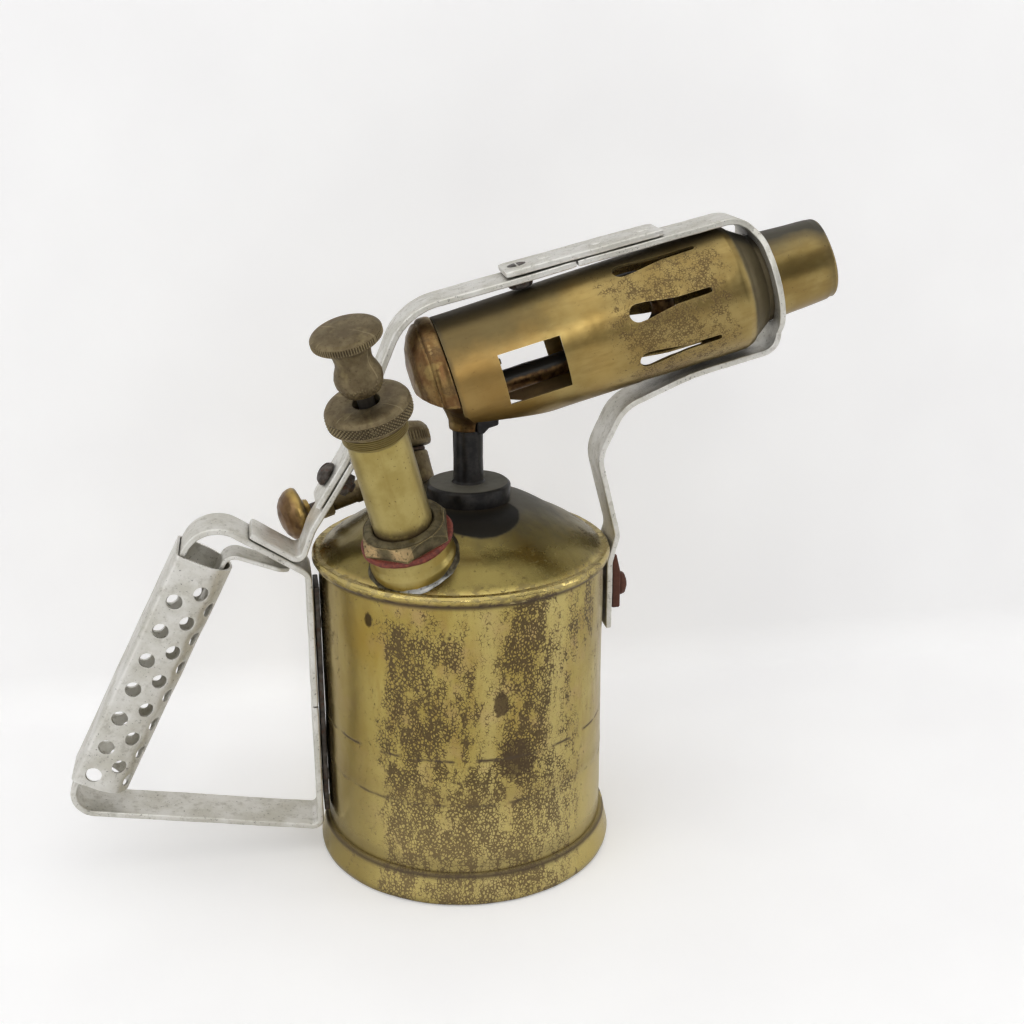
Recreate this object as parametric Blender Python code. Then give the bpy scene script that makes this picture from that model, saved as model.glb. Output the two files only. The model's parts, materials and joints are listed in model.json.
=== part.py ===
# Brass blowlamp (paraffin blow torch), built as an assembly of separate pieces.
# Metres, +Z up; dimensions below are in millimetres.  The origin is the centre of the
# tank's resting face.  +X is the side the burner points to, -X the handle, and the
# plane Y = 0 holds the handle strap, the burner and its guard.
import bpy
import bmesh
from math import sin, cos, tan, pi, radians, sqrt, atan2, acos
from mathutils import Vector, Matrix

for old in list(bpy.data.objects):
    bpy.data.objects.remove(old, do_unlink=True)

MM = 0.001               # one millimetre in scene units
WORLD = Matrix.Identity(4)

# ---------------------------------------------------------------- dimensions
TANK_R = 45.0            # outside radius of the tank wall
TANK_T = 0.9             # wall thickness
BASE_R = 48.0            # foot flange radius
LIP_R = 47.0             # rolled top seam radius
SEAT_R = 45.35           # inside radius of the base and lip where they clasp the wall
DOME_Z0 = 100.3          # dome springing height
DOME_R = 46.0            # radius at which the dome springs
DOME_H = 13.5            # dome rise
DOME_N = 3.2             # exponent of the dome's section
DOME_T = 1.0             # dome thickness
CROWN = 3.0              # extra rise of the crown around the burner boss
CROWN_R = 34.0           # radius at which the crown starts to rise
CROWN_BLEND = 14.0       # radial width of that rise
DOME_RADII = (44.4, 41, 38, 36, 33, 30, 27, 24, 21, 17, 12, 6, 0)   # section stations

STRAP_W = 7.9            # half width of the strapping
STRAP_T = 1.9            # strapping thickness
GAP = 0.3                # clearance between touching pieces
BEND_STEP = radians(12)  # arc step at a bend

PUMP_AT = (-18.33, -28.23)           # pump axis where it meets the dome
PUMP_LEAN = radians(20.8)            # lean from vertical, outwards
PUMP_AZ = radians(-133.1)
FILL_AT = (-12.0, 24.0)              # filler axis where it meets the dome
FILL_LEAN = radians(24.0)
FILL_Z = 111.394                     # height of the filler's datum point
RELEASE_UP = 7.2                     # release axis above the datum, along the filler
RELEASE_TO = Vector((-50.97, 19.0, 107.6))   # point the release axis runs out to
BURN_O = Vector((0.0, 0.0, 156.1))   # point on the burner's axis
BURN_TILT = radians(15.8)            # burner points up by this much
BOSS_X = 2.6                         # axis of burner boss and riser


# ---------------------------------------------------------------- materials
MATERIALS = {            # name: (base colour, roughness, metallic)
    "tank_brass": ((0.47, 0.36, 0.13), 0.35, 1.0),
    "burner_brass": ((0.44, 0.31, 0.13), 0.40, 1.0),
    "pump_brass": ((0.60, 0.48, 0.20), 0.28, 1.0),
    "dark_bronze": ((0.17, 0.14, 0.10), 0.50, 1.0),
    "copper_brown": ((0.36, 0.19, 0.09), 0.40, 1.0),
    "black_iron": ((0.03, 0.03, 0.03), 0.45, 0.6),
    "aluminium": ((0.62, 0.60, 0.56), 0.45, 1.0),
    "steel_dark": ((0.16, 0.14, 0.12), 0.5, 0.9),
    "rusty_steel": ((0.20, 0.09, 0.06), 0.7, 0.5),
    "spring_steel": ((0.45, 0.45, 0.45), 0.35, 1.0),
    "red_fibre": ((0.38, 0.08, 0.06), 0.7, 0.0),
    "leather": ((0.16, 0.09, 0.05), 0.7, 0.0),
    "cork": ((0.45, 0.30, 0.17), 0.8, 0.0),
    "cotton": ((0.75, 0.70, 0.58), 0.9, 0.0),
}
for mat_name, (colour, roughness, metallic) in MATERIALS.items():
    material = bpy.data.materials.new(mat_name)
    material.use_nodes = True
    shader = material.node_tree.nodes["Principled BSDF"].inputs
    shader["Base Color"].default_value = (*colour, 1.0)
    shader["Roughness"].default_value = roughness
    shader["Metallic"].default_value = metallic


# ------------------------------------------------------------- mesh helpers
def shade(mesh, sharp_angle=40.0):
    mesh.shade_smooth()
    mesh.set_sharp_from_angle(angle=radians(sharp_angle))


def new_object(name, bm, mat, frame, sharp_angle=40.0):
    """Object from a closed bmesh, with its faces turned outwards."""
    bmesh.ops.recalc_face_normals(bm, faces=bm.faces[:])
    mesh = bpy.data.meshes.new(name)
    bm.to_mesh(mesh)
    bm.free()
    mesh.calc_loop_triangles()
    volume = 0.0
    for triangle in mesh.loop_triangles:
        a, b, c = (mesh.vertices[i].co for i in triangle.vertices)
        volume += a.dot(b.cross(c))
    if volume < 0:
        mesh.flip_normals()
    obj = bpy.data.objects.new(name, mesh)
    bpy.context.scene.collection.objects.link(obj)
    if mat:
        mesh.materials.append(bpy.data.materials[mat])
    shade(mesh, sharp_angle)
    obj.matrix_world = frame
    return obj


def turn(name, sides, frame, mat, outline):
    """Solid of revolution about local Z from a closed (radius, height) outline."""
    bm = bmesh.new()
    rings = []
    for r, z in outline:
        if r < 1e-6:
            rings.append([bm.verts.new((0, 0, z * MM))])
        else:
            rings.append([bm.verts.new((r * MM * cos(2 * pi * k / sides),
                                        r * MM * sin(2 * pi * k / sides), z * MM))
                          for k in range(sides)])
    for i, a in enumerate(rings):
        b = rings[(i + 1) % len(rings)]
        if len(a) == 1 and len(b) == 1:
            continue
        for k in range(sides):
            j = (k + 1) % sides
            if len(a) == 1:
                bm.faces.new((a[0], b[k], b[j]))
            elif len(b) == 1:
                bm.faces.new((a[k], a[j], b[0]))
            else:
                bm.faces.new((a[k], a[j], b[j], b[k]))
    return new_object(name, bm, mat, frame)


def skin(name, rings, mat=None, frame=WORLD, sharp_angle=40.0):
    """Closed skin through rings of equal point count, given in metres."""
    bm = bmesh.new()
    rings = [[bm.verts.new(point) for point in ring] for ring in rings]
    for a, b in zip(rings, rings[1:]):
        for k in range(len(a)):
            j = (k + 1) % len(a)
            bm.faces.new((a[k], a[j], b[j], b[k]))
    bm.faces.new(rings[0])
    bm.faces.new(rings[-1])
    return new_object(name, bm, mat, frame, sharp_angle)


def prism(name, outline, z0, z1, frame, mat=None):
    """Straight prism: closed local (x, y) outline between two heights."""
    rings = [[(x * MM, y * MM, z * MM) for x, y in outline] for z in (z0, z1)]
    return skin(name, rings, mat, frame)


def xz_block(name, outline, half, mat=None):
    """Prism along Y from a closed (x, z) outline, from -half to +half."""
    rings = [[(x * MM, y * MM, z * MM) for x, z in outline] for y in (-half, half)]
    return skin(name, rings, mat)


def polygon(radius, sides, start=0.0):
    return [(radius * cos(2 * pi * k / sides + start), radius * sin(2 * pi * k / sides + start))
            for k in range(sides)]


def hexagon(across_flats, start=0.0):
    return polygon(across_flats / 2.0 / cos(pi / 6), 6, start)


def make_frame(origin, z_dir, x_hint=(0, 1, 0)):
    """Frame at a point in mm, with local x as near to x_hint as z_dir allows."""
    z_axis = Vector(z_dir).normalized()
    x_axis = Vector(x_hint)
    x_axis = (x_axis - z_axis * x_axis.dot(z_axis)).normalized()
    frame = Matrix((x_axis, z_axis.cross(x_axis), z_axis)).transposed().to_4x4()
    frame.translation = Vector(origin) * MM
    return frame


def boolean(piece, tool, operation):
    """Apply one exact Boolean, clean the seam and drop the tool."""
    bpy.context.view_layer.update()
    modifier = piece.modifiers.new("b", "BOOLEAN")
    modifier.operation = operation
    modifier.solver = "EXACT"
    modifier.object = tool
    bpy.context.view_layer.update()
    depsgraph = bpy.context.evaluated_depsgraph_get()
    mesh = bpy.data.meshes.new_from_object(piece.evaluated_get(depsgraph))
    mats = list(piece.data.materials)
    piece.modifiers.clear()
    piece.data = mesh
    mesh.materials.clear()
    for mat in mats:
        mesh.materials.append(mat)
    for face in mesh.polygons:
        face.material_index = 0
    bm = bmesh.new()
    bm.from_mesh(mesh)
    bmesh.ops.remove_doubles(bm, verts=bm.verts[:], dist=2e-6)
    bmesh.ops.dissolve_degenerate(bm, edges=bm.edges[:], dist=2e-6)
    bm.to_mesh(mesh)
    bm.free()
    shade(mesh)
    bpy.data.objects.remove(tool, do_unlink=True)


def cut(piece, tool):
    boolean(piece, tool, "DIFFERENCE")


def fuse(piece, tool):
    boolean(piece, tool, "UNION")


def pin(radius, z0, z1, frame, sides=16):
    return turn("tool", sides, frame, None, [(0, z0), (radius, z0), (radius, z1), (0, z1)])


def drill(pieces, radius, z0, z1, frame, sides=10):
    """The same round hole through each of the pieces."""
    for piece in pieces:
        cut(piece, pin(radius, z0, z1, frame, sides))


def hex_nut(name, across_flats, z0, z1, bore, frame, mat, start=0.0, sides=10):
    """Bored hexagon; start turns it, sides is the bore's side count."""
    nut = prism(name, hexagon(across_flats, start), z0, z1, frame, mat)
    drill([nut], bore, z0 - 5, z1 + 5, frame, sides)
    return nut


# ------------------------------------------------------------- bar helpers
def bend(points):
    """Centre line in (x, z) with rounded corners: (x, z) ends, (x, z, radius) corners."""
    line = [Vector(points[0])]
    for before, (x, z, radius), after in zip(points, points[1:-1], points[2:]):
        corner = Vector((x, z))
        a = (Vector(before[:2]) - corner).normalized()
        b = (Vector(after[:2]) - corner).normalized()
        angle = acos(max(-1, min(1, a.dot(b))))
        setback = radius / tan(angle / 2)
        centre = corner + (a + b).normalized() * (radius / sin(angle / 2))
        start = corner + a * setback - centre
        end = corner + b * setback - centre
        sweep = pi - angle
        steps = max(2, int(round(sweep / BEND_STEP)))
        sign = 1 if start.x * end.y - start.y * end.x > 0 else -1
        for k in range(steps + 1):
            t = sign * sweep * k / steps
            line.append(centre + Vector((start.x * cos(t) - start.y * sin(t),
                                         start.x * sin(t) + start.y * cos(t))))
    line.append(Vector(points[-1]))
    return line


def directions(line):
    """Unit directions (before, after) each point of a line; the ends repeat theirs."""
    runs = [(b - a).normalized() for a, b in zip(line, line[1:])]
    return zip(runs[:1] + runs, runs + runs[-1:])


def normal_2d(direction):
    return Vector((-direction.y, direction.x))


def strap(name, line, half_widths=None, thick=STRAP_T):
    """Aluminium flat bar along an (x, z) centre line, with a half width per point."""
    half_widths = half_widths or [STRAP_W] * len(line)
    rings = []
    for point, (before, after), half in zip(line, directions(line), half_widths):
        mitre = (normal_2d(before) + normal_2d(after)).normalized()
        offset = mitre / max(0.5, mitre.dot(normal_2d(before)))
        top = point + offset * thick / 2
        bottom = point - offset * thick / 2
        rings.append([(p.x * MM, y * MM, p.y * MM) for p, y in
                      ((top, -half), (top, half), (bottom, half), (bottom, -half))])
    return skin(name, rings, "aluminium", sharp_angle=30)


def round_tip(line, half):
    """Centre line and half widths of a bar whose last end is rounded."""
    direction = (line[-1] - line[-2]).normalized()
    centre = line[-1] - direction * half
    steps = [half * sin(k / 6 * pi / 2) for k in range(7)]
    widths = [sqrt(max(0.09, half * half - s * s)) for s in steps]
    return (line[:-1] + [centre + direction * s for s in steps],
            [half] * (len(line) - 1) + widths)


def round_bar(name, line, radius, mat, sides):
    """Round bar along a 3-D line, with each ring's start carried on from the last."""
    rings = []
    u = Vector((0, 1, 0))
    for point, (before, after) in zip(line, directions(line)):
        along = (before + after).normalized()
        u = (u - along * u.dot(along)).normalized()
        v = along.cross(u)
        rings.append([(point + u * x + v * y) * MM for x, y in polygon(radius, sides)])
    return skin(name, rings, mat)


def run_z(run, x):
    """Height at x of a straight run, given as (x, z, slope)."""
    x0, z0, slope = run
    return z0 + slope * (x - x0)


def meet(point, direction, run):
    """Where a line in the XZ plane crosses a straight run."""
    gap = run_z(run, point.x) - point.z
    return point + direction * (gap / (direction.z - run[2] * direction.x))


def xz(point, *radius):
    """Entry for bend() from a 3-D point."""
    return (point.x, point.z, *radius)


# ------------------------------------------------------- dome and axis frames
def dome(r):
    """Height of the dome's outer skin at a radius."""
    rise = max(0.0, min(1.0, (CROWN_R - r) / CROWN_BLEND))
    return (DOME_Z0 + DOME_H * (1.0 - min(1.0, r / DOME_R) ** DOME_N)
            + CROWN * rise * rise * (3.0 - 2.0 * rise))


def dome_tool():
    """Everything below the dome's outer skin, raised by the clearance."""
    return turn("tool", 40, WORLD, None, [
        (0, 60), (60, 60), (60, 98), (47.5, 98), (47.5, 101.2), (46.4, 102.2), (45.2, 102.3),
    ] + [(r, dome(r) + GAP) for r in DOME_RADII])


def lean_dir(lean, azimuth):
    return Vector((sin(lean) * cos(azimuth), sin(lean) * sin(azimuth), cos(lean)))


def burner_point(along, across):
    """Point in the plane Y = 0, along the burner's axis and up across it."""
    return BURN_O + BURN_A * along + BURN_N * across


# Local z runs outwards along the axis of each frame.
PUMP_O = Vector((*PUMP_AT, dome(sqrt(PUMP_AT[0] ** 2 + PUMP_AT[1] ** 2))))
PUMP_M = make_frame(PUMP_O, lean_dir(PUMP_LEAN, PUMP_AZ))
FILL_O = Vector((*FILL_AT, FILL_Z))
FILL_D = lean_dir(FILL_LEAN, atan2(FILL_AT[1], FILL_AT[0]))
FILL_M = make_frame(FILL_O, FILL_D)
RELEASE_O = FILL_O + FILL_D * RELEASE_UP
RELEASE_M = make_frame(RELEASE_O, RELEASE_TO - RELEASE_O, x_hint=(0, 0, 1))
BURN_A = Vector((cos(BURN_TILT), 0, sin(BURN_TILT)))
BURN_N = Vector((-sin(BURN_TILT), 0, cos(BURN_TILT)))
BURN_M = make_frame(BURN_O, BURN_A, x_hint=BURN_N)      # local x = up across the burner
BOSS_M = make_frame((BOSS_X, 0, 0), (0, 0, 1), x_hint=(1, 0, 0))

# ==================================================================== tank
# All turned outlines below are (radius, height along the frame's z).
tank_body = turn("tank_body", 40, WORLD, "tank_brass", [
    (TANK_R, 99.5), (TANK_R, 5.2), (TANK_R - TANK_T, 5.2), (TANK_R - TANK_T, 99.5)])
turn("tank_base", 40, WORLD, "tank_brass", [
    (46.4, 9.2), (47.3, 5.5), (BASE_R, 1.0), (47.6, 0.0), (42.6, 0.0), (41.6, 1.3),
    (38.6, 1.3), (37.6, 0.0), (0, 0.0), (0, 1.2), (36.9, 1.2), (38.0, 2.5), (41.9, 2.5),
    (43.6, 3.3), (SEAT_R, 4.6), (SEAT_R, 9.2)])

# domed top with its rolled lip, and holes for burner, pump and filler
tank_top = turn("tank_top", 40, WORLD, "tank_brass",
                [(r, dome(r)) for r in reversed(DOME_RADII)]
                + [(45.2, 101.9), (46.4, 101.6), (LIP_R, 100.2), (46.4, 98.7), (45.4, 98.4),
                   (SEAT_R, 99.9)]
                + [(r, dome(r) - DOME_T) for r in (43.6,) + DOME_RADII[1:]])
cut(tank_top, pin(7.0, 95, 125, BOSS_M, 26))
cut(tank_top, pin(9.1, -14, 12, PUMP_M))
cut(tank_top, pin(5.6, -12, 12, FILL_M))

# cotton wick and pick-up tube under the burner boss
turn("pickup_tube", 10, BOSS_M, "pump_brass", [(3.5, 113.4), (3.5, 12), (2.9, 12), (2.9, 113.4)])
turn("wick", 10, BOSS_M, "cotton", [
    (0, 104), (2.5, 104), (2.5, 10), (3.0, 7.5), (2.2, 5.2), (0, 4.6)])

# ==================================================================== pump
BARREL_R = 8.75          # outside radius of the barrel and its foot
BOSS_BORE = 9.25         # bore of boss and washer around the barrel
ROD_BORE = 2.2           # bore of the cup parts around the rod's thin end

pump_boss = turn("pump_boss", 20, PUMP_M, "tank_brass", [
    (BOSS_BORE, 6.0), (11.9, 6.0), (12.2, 5.6), (12.4, 1.0), (13.0, -3.0), (13.0, -14),
    (BOSS_BORE, -14)])
cut(pump_boss, dome_tool())
turn("pump_washer", 20, PUMP_M, "red_fibre", [
    (BOSS_BORE, 7.8), (13.4, 7.8), (13.6, 7.4), (13.6, 6.7), (13.4, 6.3), (BOSS_BORE, 6.3)])

# nut with its upper corners chamfered
pump_nut = hex_nut("pump_nut", 24.2, 8.1, 12.2, 9.05, PUMP_M, "pump_brass",
                   start=radians(-9.0), sides=16)
cut(pump_nut, turn("tool", 26, PUMP_M, None, [
    (12.0, 12.4), (14.5, 8.2), (18.0, 8.2), (18.0, 13.0), (12.0, 13.0)]))

turn("pump_barrel", 20, PUMP_M, "pump_brass", [
    (BARREL_R, 43.8), (BARREL_R, -52.5), (7.95, -52.5), (7.95, 52.2), (9.55, 52.2), (9.55, 44.4)])
turn("pump_cap", 26, PUMP_M, "dark_bronze", [
    (4.1, 54.2), (10.2, 54.6), (11.4, 54.3), (12.1, 53.6), (12.2, 52.8), (12.2, 50.2),
    (11.9, 49.8), (11.0, 49.5), (10.8, 48.2), (9.9, 48.2), (9.9, 52.6), (4.1, 52.6)])
turn("pump_rod", 10, PUMP_M, "spring_steel", [
    (0, 66.4), (2.4, 66.4), (2.4, -35.6), (1.9, -35.8), (1.9, -46.6), (0, -46.6)])
turn("pump_knob", 20, PUMP_M, "dark_bronze", [
    (0, 77.5), (5.0, 77.4), (8.6, 77.0), (9.6, 76.5), (9.8, 76.0), (9.8, 74.6), (9.3, 74.1),
    (6.4, 73.4), (5.1, 72.2), (4.7, 70.4), (4.8, 69.2), (6.0, 68.2), (6.8, 66.8), (6.95, 65.2),
    (6.7, 63.2), (5.8, 60.8), (5.0, 58.8), (4.4, 58.0), (2.7, 58.0), (2.7, 66.7), (0, 66.7)])

# cup leather between its plate and washer, held by a nut on the rod
turn("cup_plate", 12, PUMP_M, "pump_brass", [
    (ROD_BORE, -35.9), (6.4, -35.9), (6.4, -37.1), (ROD_BORE, -37.1)])
turn("cup_leather", 16, PUMP_M, "leather", [
    (ROD_BORE, -37.4), (7.0, -37.4), (7.6, -38.2), (7.6, -44.4), (6.3, -44.4), (6.1, -39.6),
    (ROD_BORE, -39.4)])
turn("cup_washer", 12, PUMP_M, "pump_brass", [
    (ROD_BORE, -39.7), (5.0, -39.7), (5.0, -40.7), (ROD_BORE, -40.7)])
hex_nut("cup_nut", 8.0, -44.0, -41.0, ROD_BORE, PUMP_M, "pump_brass")

# foot of the barrel with the non-return valve
turn("pump_foot", 16, PUMP_M, "pump_brass", [
    (1.6, -49.6), (7.6, -49.6), (7.6, -52.9), (BARREL_R, -52.9), (BARREL_R, -55.6),
    (5.4, -56.4), (5.4, -67.0), (4.0, -67.0), (4.0, -55.4), (3.2, -55.4), (2.6, -54.6),
    (1.6, -54.6)])
turn("valve_pad", 12, PUMP_M, "cork", [(0, -55.8), (3.4, -55.8), (3.4, -57.4), (0, -57.4)])

COIL_TURNS = 4
COIL_STEPS = 8           # points per turn
COIL_R = 2.5
COIL_Z0 = -63.6
COIL_LENGTH = 5.4
coil = []
for k in range(COIL_TURNS * COIL_STEPS + 1):
    angle = 2 * pi * k / COIL_STEPS
    z = COIL_Z0 + COIL_LENGTH * k / (COIL_TURNS * COIL_STEPS)
    local = Vector((COIL_R * cos(angle), COIL_R * sin(angle), z))
    coil.append(PUMP_M.to_3x3() @ local + PUMP_O)
round_bar("valve_spring", coil, 0.34, "spring_steel", 5)

turn("valve_plug", 12, PUMP_M, "pump_brass", [
    (1.2, -64.4), (3.65, -64.4), (3.65, -67.4), (5.4, -67.4), (5.4, -68.8), (1.2, -68.8)])

# ======================================================== filler and release
NECK_BORE = 4.9
RELEASE_BORE = 2.2

filler_neck = turn("filler_neck", 16, FILL_M, "dark_bronze", [
    (NECK_BORE, 12.8), (7.3, 12.8), (7.6, 12.4), (7.9, 2.0), (8.2, -0.6), (8.8, -2.4),
    (8.8, -10), (NECK_BORE, -10)])
cut(filler_neck, dome_tool())
drill([filler_neck], 2.6, 3.0, 16, RELEASE_M, 12)

# pressure release: side housing on the neck, its axis running out to the handle side
housing = turn("release_housing", 12, RELEASE_M, "dark_bronze", [
    (RELEASE_BORE, 9.0), (3.6, 9.0), (3.6, 19.0), (3.3, 19.4), (3.3, 27.4), (RELEASE_BORE, 27.4)])
cut(housing, pin(8.25, -12, 20, FILL_M))
hex_nut("release_gland", 8.2, 27.7, 31.6, RELEASE_BORE, RELEASE_M, "dark_bronze", sides=12)
turn("release_spindle", 10, RELEASE_M, "steel_dark", [
    (0, 42.6), (1.9, 42.6), (1.9, 8.0), (1.2, 7.4), (0, 5.4)])
turn("release_knob", 20, RELEASE_M, "copper_brown", [
    (0, 44.9), (2.6, 44.7), (5.0, 43.9), (7.0, 42.5), (8.4, 40.6), (8.9, 39.0), (8.9, 38.0),
    (8.4, 37.3), (6.5, 36.8), (4.0, 36.4), (3.6, 34.8), (2.2, 34.8), (2.2, 42.9), (0, 42.9)])

turn("filler_washer", 12, FILL_M, "leather", [
    (NECK_BORE, 14.0), (7.0, 14.0), (7.0, 13.1), (NECK_BORE, 13.1)])
turn("filler_plug", 20, FILL_M, "dark_bronze", [
    (0, 23.4), (5.0, 23.2), (8.0, 22.3), (9.4, 20.6), (9.7, 18.8), (9.7, 15.6), (9.2, 14.6),
    (6.6, 14.3), (4.6, 14.3), (4.6, 4.0), (4.0, 3.2), (0, 3.2)])

# ==================================================== burner boss and riser
burner_boss = turn("burner_boss", 20, BOSS_M, "black_iron", [
    (4.95, 122.0), (12.4, 122.0), (13.1, 121.4), (13.1, 104.5), (6.6, 104.5), (6.6, 103.0),
    (3.8, 103.0), (3.8, 114.0), (4.95, 114.0)])
# the spigot passes through the dome, so the dome tool is bored before it cuts
bored_dome = dome_tool()
cut(bored_dome, pin(6.75, 90, 130, BOSS_M))
cut(burner_boss, bored_dome)

# riser tube with a small bracket on its +X side under the burner
riser = turn("riser_tube", 16, BOSS_M, "black_iron", [
    (2.3, 144.6), (4.65, 144.6), (4.65, 124), (4.75, 114.3), (2.3, 114.3)])
fuse(riser, xz_block("tool", [
    (4.6, 138.8), (6.6, 138.8), (8.2, 140.5), (11.2, 141.4), (11.2, 144.5), (4.6, 144.5)], 6.4))

# ==================================================================== burner
RING_BACK = -8.2         # rear face of the casting, along the burner
VAP_LOW = -6.5           # lower vaporiser leg, across the burner
VAP_BEND_R = 8.6         # radius of the vaporiser's front bend
VAP_BEND_AT = 58.0       # start of that bend, along the burner


def cut_below(piece, skyline):
    """Cut away all of a burner piece below an (x, z) line drawn from +X to -X."""
    cut(piece, xz_block("tool", [(-30, 120), (40, 120)] + skyline, 30))


# casting: rear ring and spigot inside the jacket, cut back below for the neck
casting = turn("burner_casting", 26, BURN_M, "copper_brown", [
    (0, RING_BACK), (19.2, RING_BACK), (19.8, -7.5), (19.8, -3.9), (19.3, -3.3), (18.0, -3.3),
    (18.0, 1.5), (0, 1.5)])
cut_below(casting, [(40, 145.0), (4.2, 145.0), (-1.0, 150.5), (-30, 150.5)])

# neck down to the riser
NECK_STATIONS = (        # (z, centre x from the riser axis, half size in x, in y)
    (139.3, 0.0, 5.7, 5.7), (142.0, -0.2, 5.8, 6.9), (144.5, -0.9, 6.0, 9.2),
    (147.0, -2.2, 6.2, 12.0), (150.0, -3.6, 6.2, 13.8), (153.0, -4.4, 5.8, 14.6))
neck = skin("tool", [
    [Vector((BOSS_X + shift + half_x * cos(2 * pi * k / 32),
             half_y * sin(2 * pi * k / 32), z)) * MM for k in range(32)]
    for z, shift, half_x, half_y in NECK_STATIONS])
# the neck must not stand out behind the ring
cut(neck, pin(40, RING_BACK, -60, BURN_M, 12))
fuse(casting, neck)
# sockets for the riser, its bracket and the vaporiser's lower leg
cut(casting, pin(4.9, 120, 148.0, BOSS_M))
cut(casting, xz_block("tool", [(4.2, 136), (40, 136), (40, 144.9), (4.2, 144.9)], 6.8))
cut(casting, pin(4.1, -3.0, 30, make_frame(burner_point(0, VAP_LOW), BURN_A, BURN_N), 12))

rear_cap = turn("rear_cap", 26, BURN_M, "copper_brown", [
    (0, -14.4), (7.0, -14.1), (12.5, -13.2), (16.2, -11.8), (18.3, -10.0), (18.9, -8.5),
    (17.9, -8.5), (17.3, -9.6), (15.6, -11.0), (12.2, -12.2), (7.0, -13.1), (0, -13.4)])
cut_below(rear_cap, [(40, 152.2), (-30, 152.2)])

JACKET_REAR_R = 19.1
JACKET_FRONT_R = 19.6
jacket = turn("burner_jacket", 26, BURN_M, "burner_brass", [
    (JACKET_REAR_R, -2.9), (JACKET_FRONT_R, 86.4), (JACKET_FRONT_R - 0.1, 88.2), (18.9, 89.5),
    (17.9, 90.2), (14.4, 95.6), (14.0, 95.2), (17.4, 89.3), (18.4, 88.4),
    (JACKET_FRONT_R - 0.9, 86.4), (JACKET_REAR_R - 0.8, -2.9)])
# underside cut away at the rear, over the neck and bracket
cut_below(jacket, [(40, 145.0), (2.2, 145.0), (0.0, 147.2), (-30, 149.5)])
# rectangular windows, one on each side
cut(jacket, prism("tool", [(6.8, -30), (-9.1, -30), (-9.1, 30), (6.8, 30)], 11.2, 30.4, BURN_M))

# eight teardrop slots: (along the burner, sideways), round wide end to the rear
teardrop = [(54.6 + 2.7 * cos(pi / 2 + pi * k / 6), 2.7 * sin(pi / 2 + pi * k / 6))
            for k in range(7)]
teardrop += [(60.0, -1.7), (65.0, -0.9)]
teardrop += [(77.0 + 0.8 * cos(-pi / 2 + pi * k / 2), 0.8 * sin(-pi / 2 + pi * k / 2))
             for k in range(3)]
teardrop += [(65.0, 0.9), (60.0, 1.7)]
for k in range(8):
    # the first two pitches are a little wider than the rest
    phi = radians(-26.5 - 45.5 * min(k, 2) - 44.8 * max(k - 2, 0))
    radial = BURN_N * cos(phi) + Vector((0, 1, 0)) * sin(phi)
    cut(jacket, prism("tool", teardrop, 12, 24, make_frame(BURN_O, radial, BURN_A)))

turn("burner_nozzle", 20, BURN_M, "burner_brass", [
    (13.6, 92.0), (13.6, 99.5), (12.5, 116.4), (12.2, 118.0), (11.6, 118.7), (11.1, 118.2),
    (11.4, 116.0), (12.4, 99.5), (12.4, 92.0)])

# vaporiser: lower leg forward, a bend at the front, upper leg back to the jet block
vaporiser = [burner_point(-2.0, VAP_LOW)]
for k in range(9):
    angle = -pi / 2 + pi * k / 8
    vaporiser.append(burner_point(VAP_BEND_AT + VAP_BEND_R * cos(angle),
                                  VAP_LOW + VAP_BEND_R + VAP_BEND_R * sin(angle)))
vaporiser.append(burner_point(9.6, VAP_LOW + 2 * VAP_BEND_R))
round_bar("vaporiser", vaporiser, 3.6, "black_iron", 12)

prism("jet_block", [(-2.3, -4.2), (15.0, -4.2), (15.0, 4.2), (-2.3, 4.2)], 1.9, 9.2,
      BURN_M, "black_iron")
nipple = prism("jet_nipple", hexagon(5.0), 9.5, 11.0, BURN_M, "pump_brass")
fuse(nipple, turn("tool", 10, BURN_M, None, [(0, 10.6), (1.4, 10.6), (0.9, 13.5), (0, 13.5)]))
drill([nipple], 0.35, 5, 20, BURN_M)

# ==================================================================== handle
GRIP_TOP = Vector((-80.2, 0, 103.0))
GRIP_D = Vector((0.457, 0, 0.889)).normalized()          # up the grip
GRIP_L = Vector((-GRIP_D.z, 0, GRIP_D.x))                # away from the tank
GRIP_M = make_frame(GRIP_TOP, GRIP_D, x_hint=-GRIP_L)    # local x = towards the tank
GRIP_LEN = 81.5
GRIP_LEG = 6.2           # strap and finger rest from the grip's axis
UPPER_RUN = (-66.7, 109.1, -0.655)     # straight centre lines: (x, z, slope)
LOWER_RUN = (0.0, 0.39, -0.175)
UPRIGHT_X = -48.3        # centre line of the upright against the tank

# closed loop of strap with its butt joint in the upright
leg = GRIP_TOP + GRIP_L * GRIP_LEG
handle = strap("handle_strap", bend([
    (UPRIGHT_X, 52.3),
    (UPRIGHT_X, run_z(UPPER_RUN, UPRIGHT_X), 4.0),
    xz(meet(leg, GRIP_D, UPPER_RUN), 10.5),
    xz(meet(leg, GRIP_D, LOWER_RUN), 7.0),
    (UPRIGHT_X, run_z(LOWER_RUN, UPRIGHT_X), 2.6),
    (UPRIGHT_X, 51.7)]))

GRIP_R = 9.3             # half width, and radius of the rounded side
GRIP_FLAT = 8.35         # flat side from the grip's axis
GRIP_CORNER = 1.8        # corner radius of the flat side
GRIP_ARC_X = 0.5         # centre of the rounded side
GRIP_T = 0.75            # sheet thickness


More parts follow.
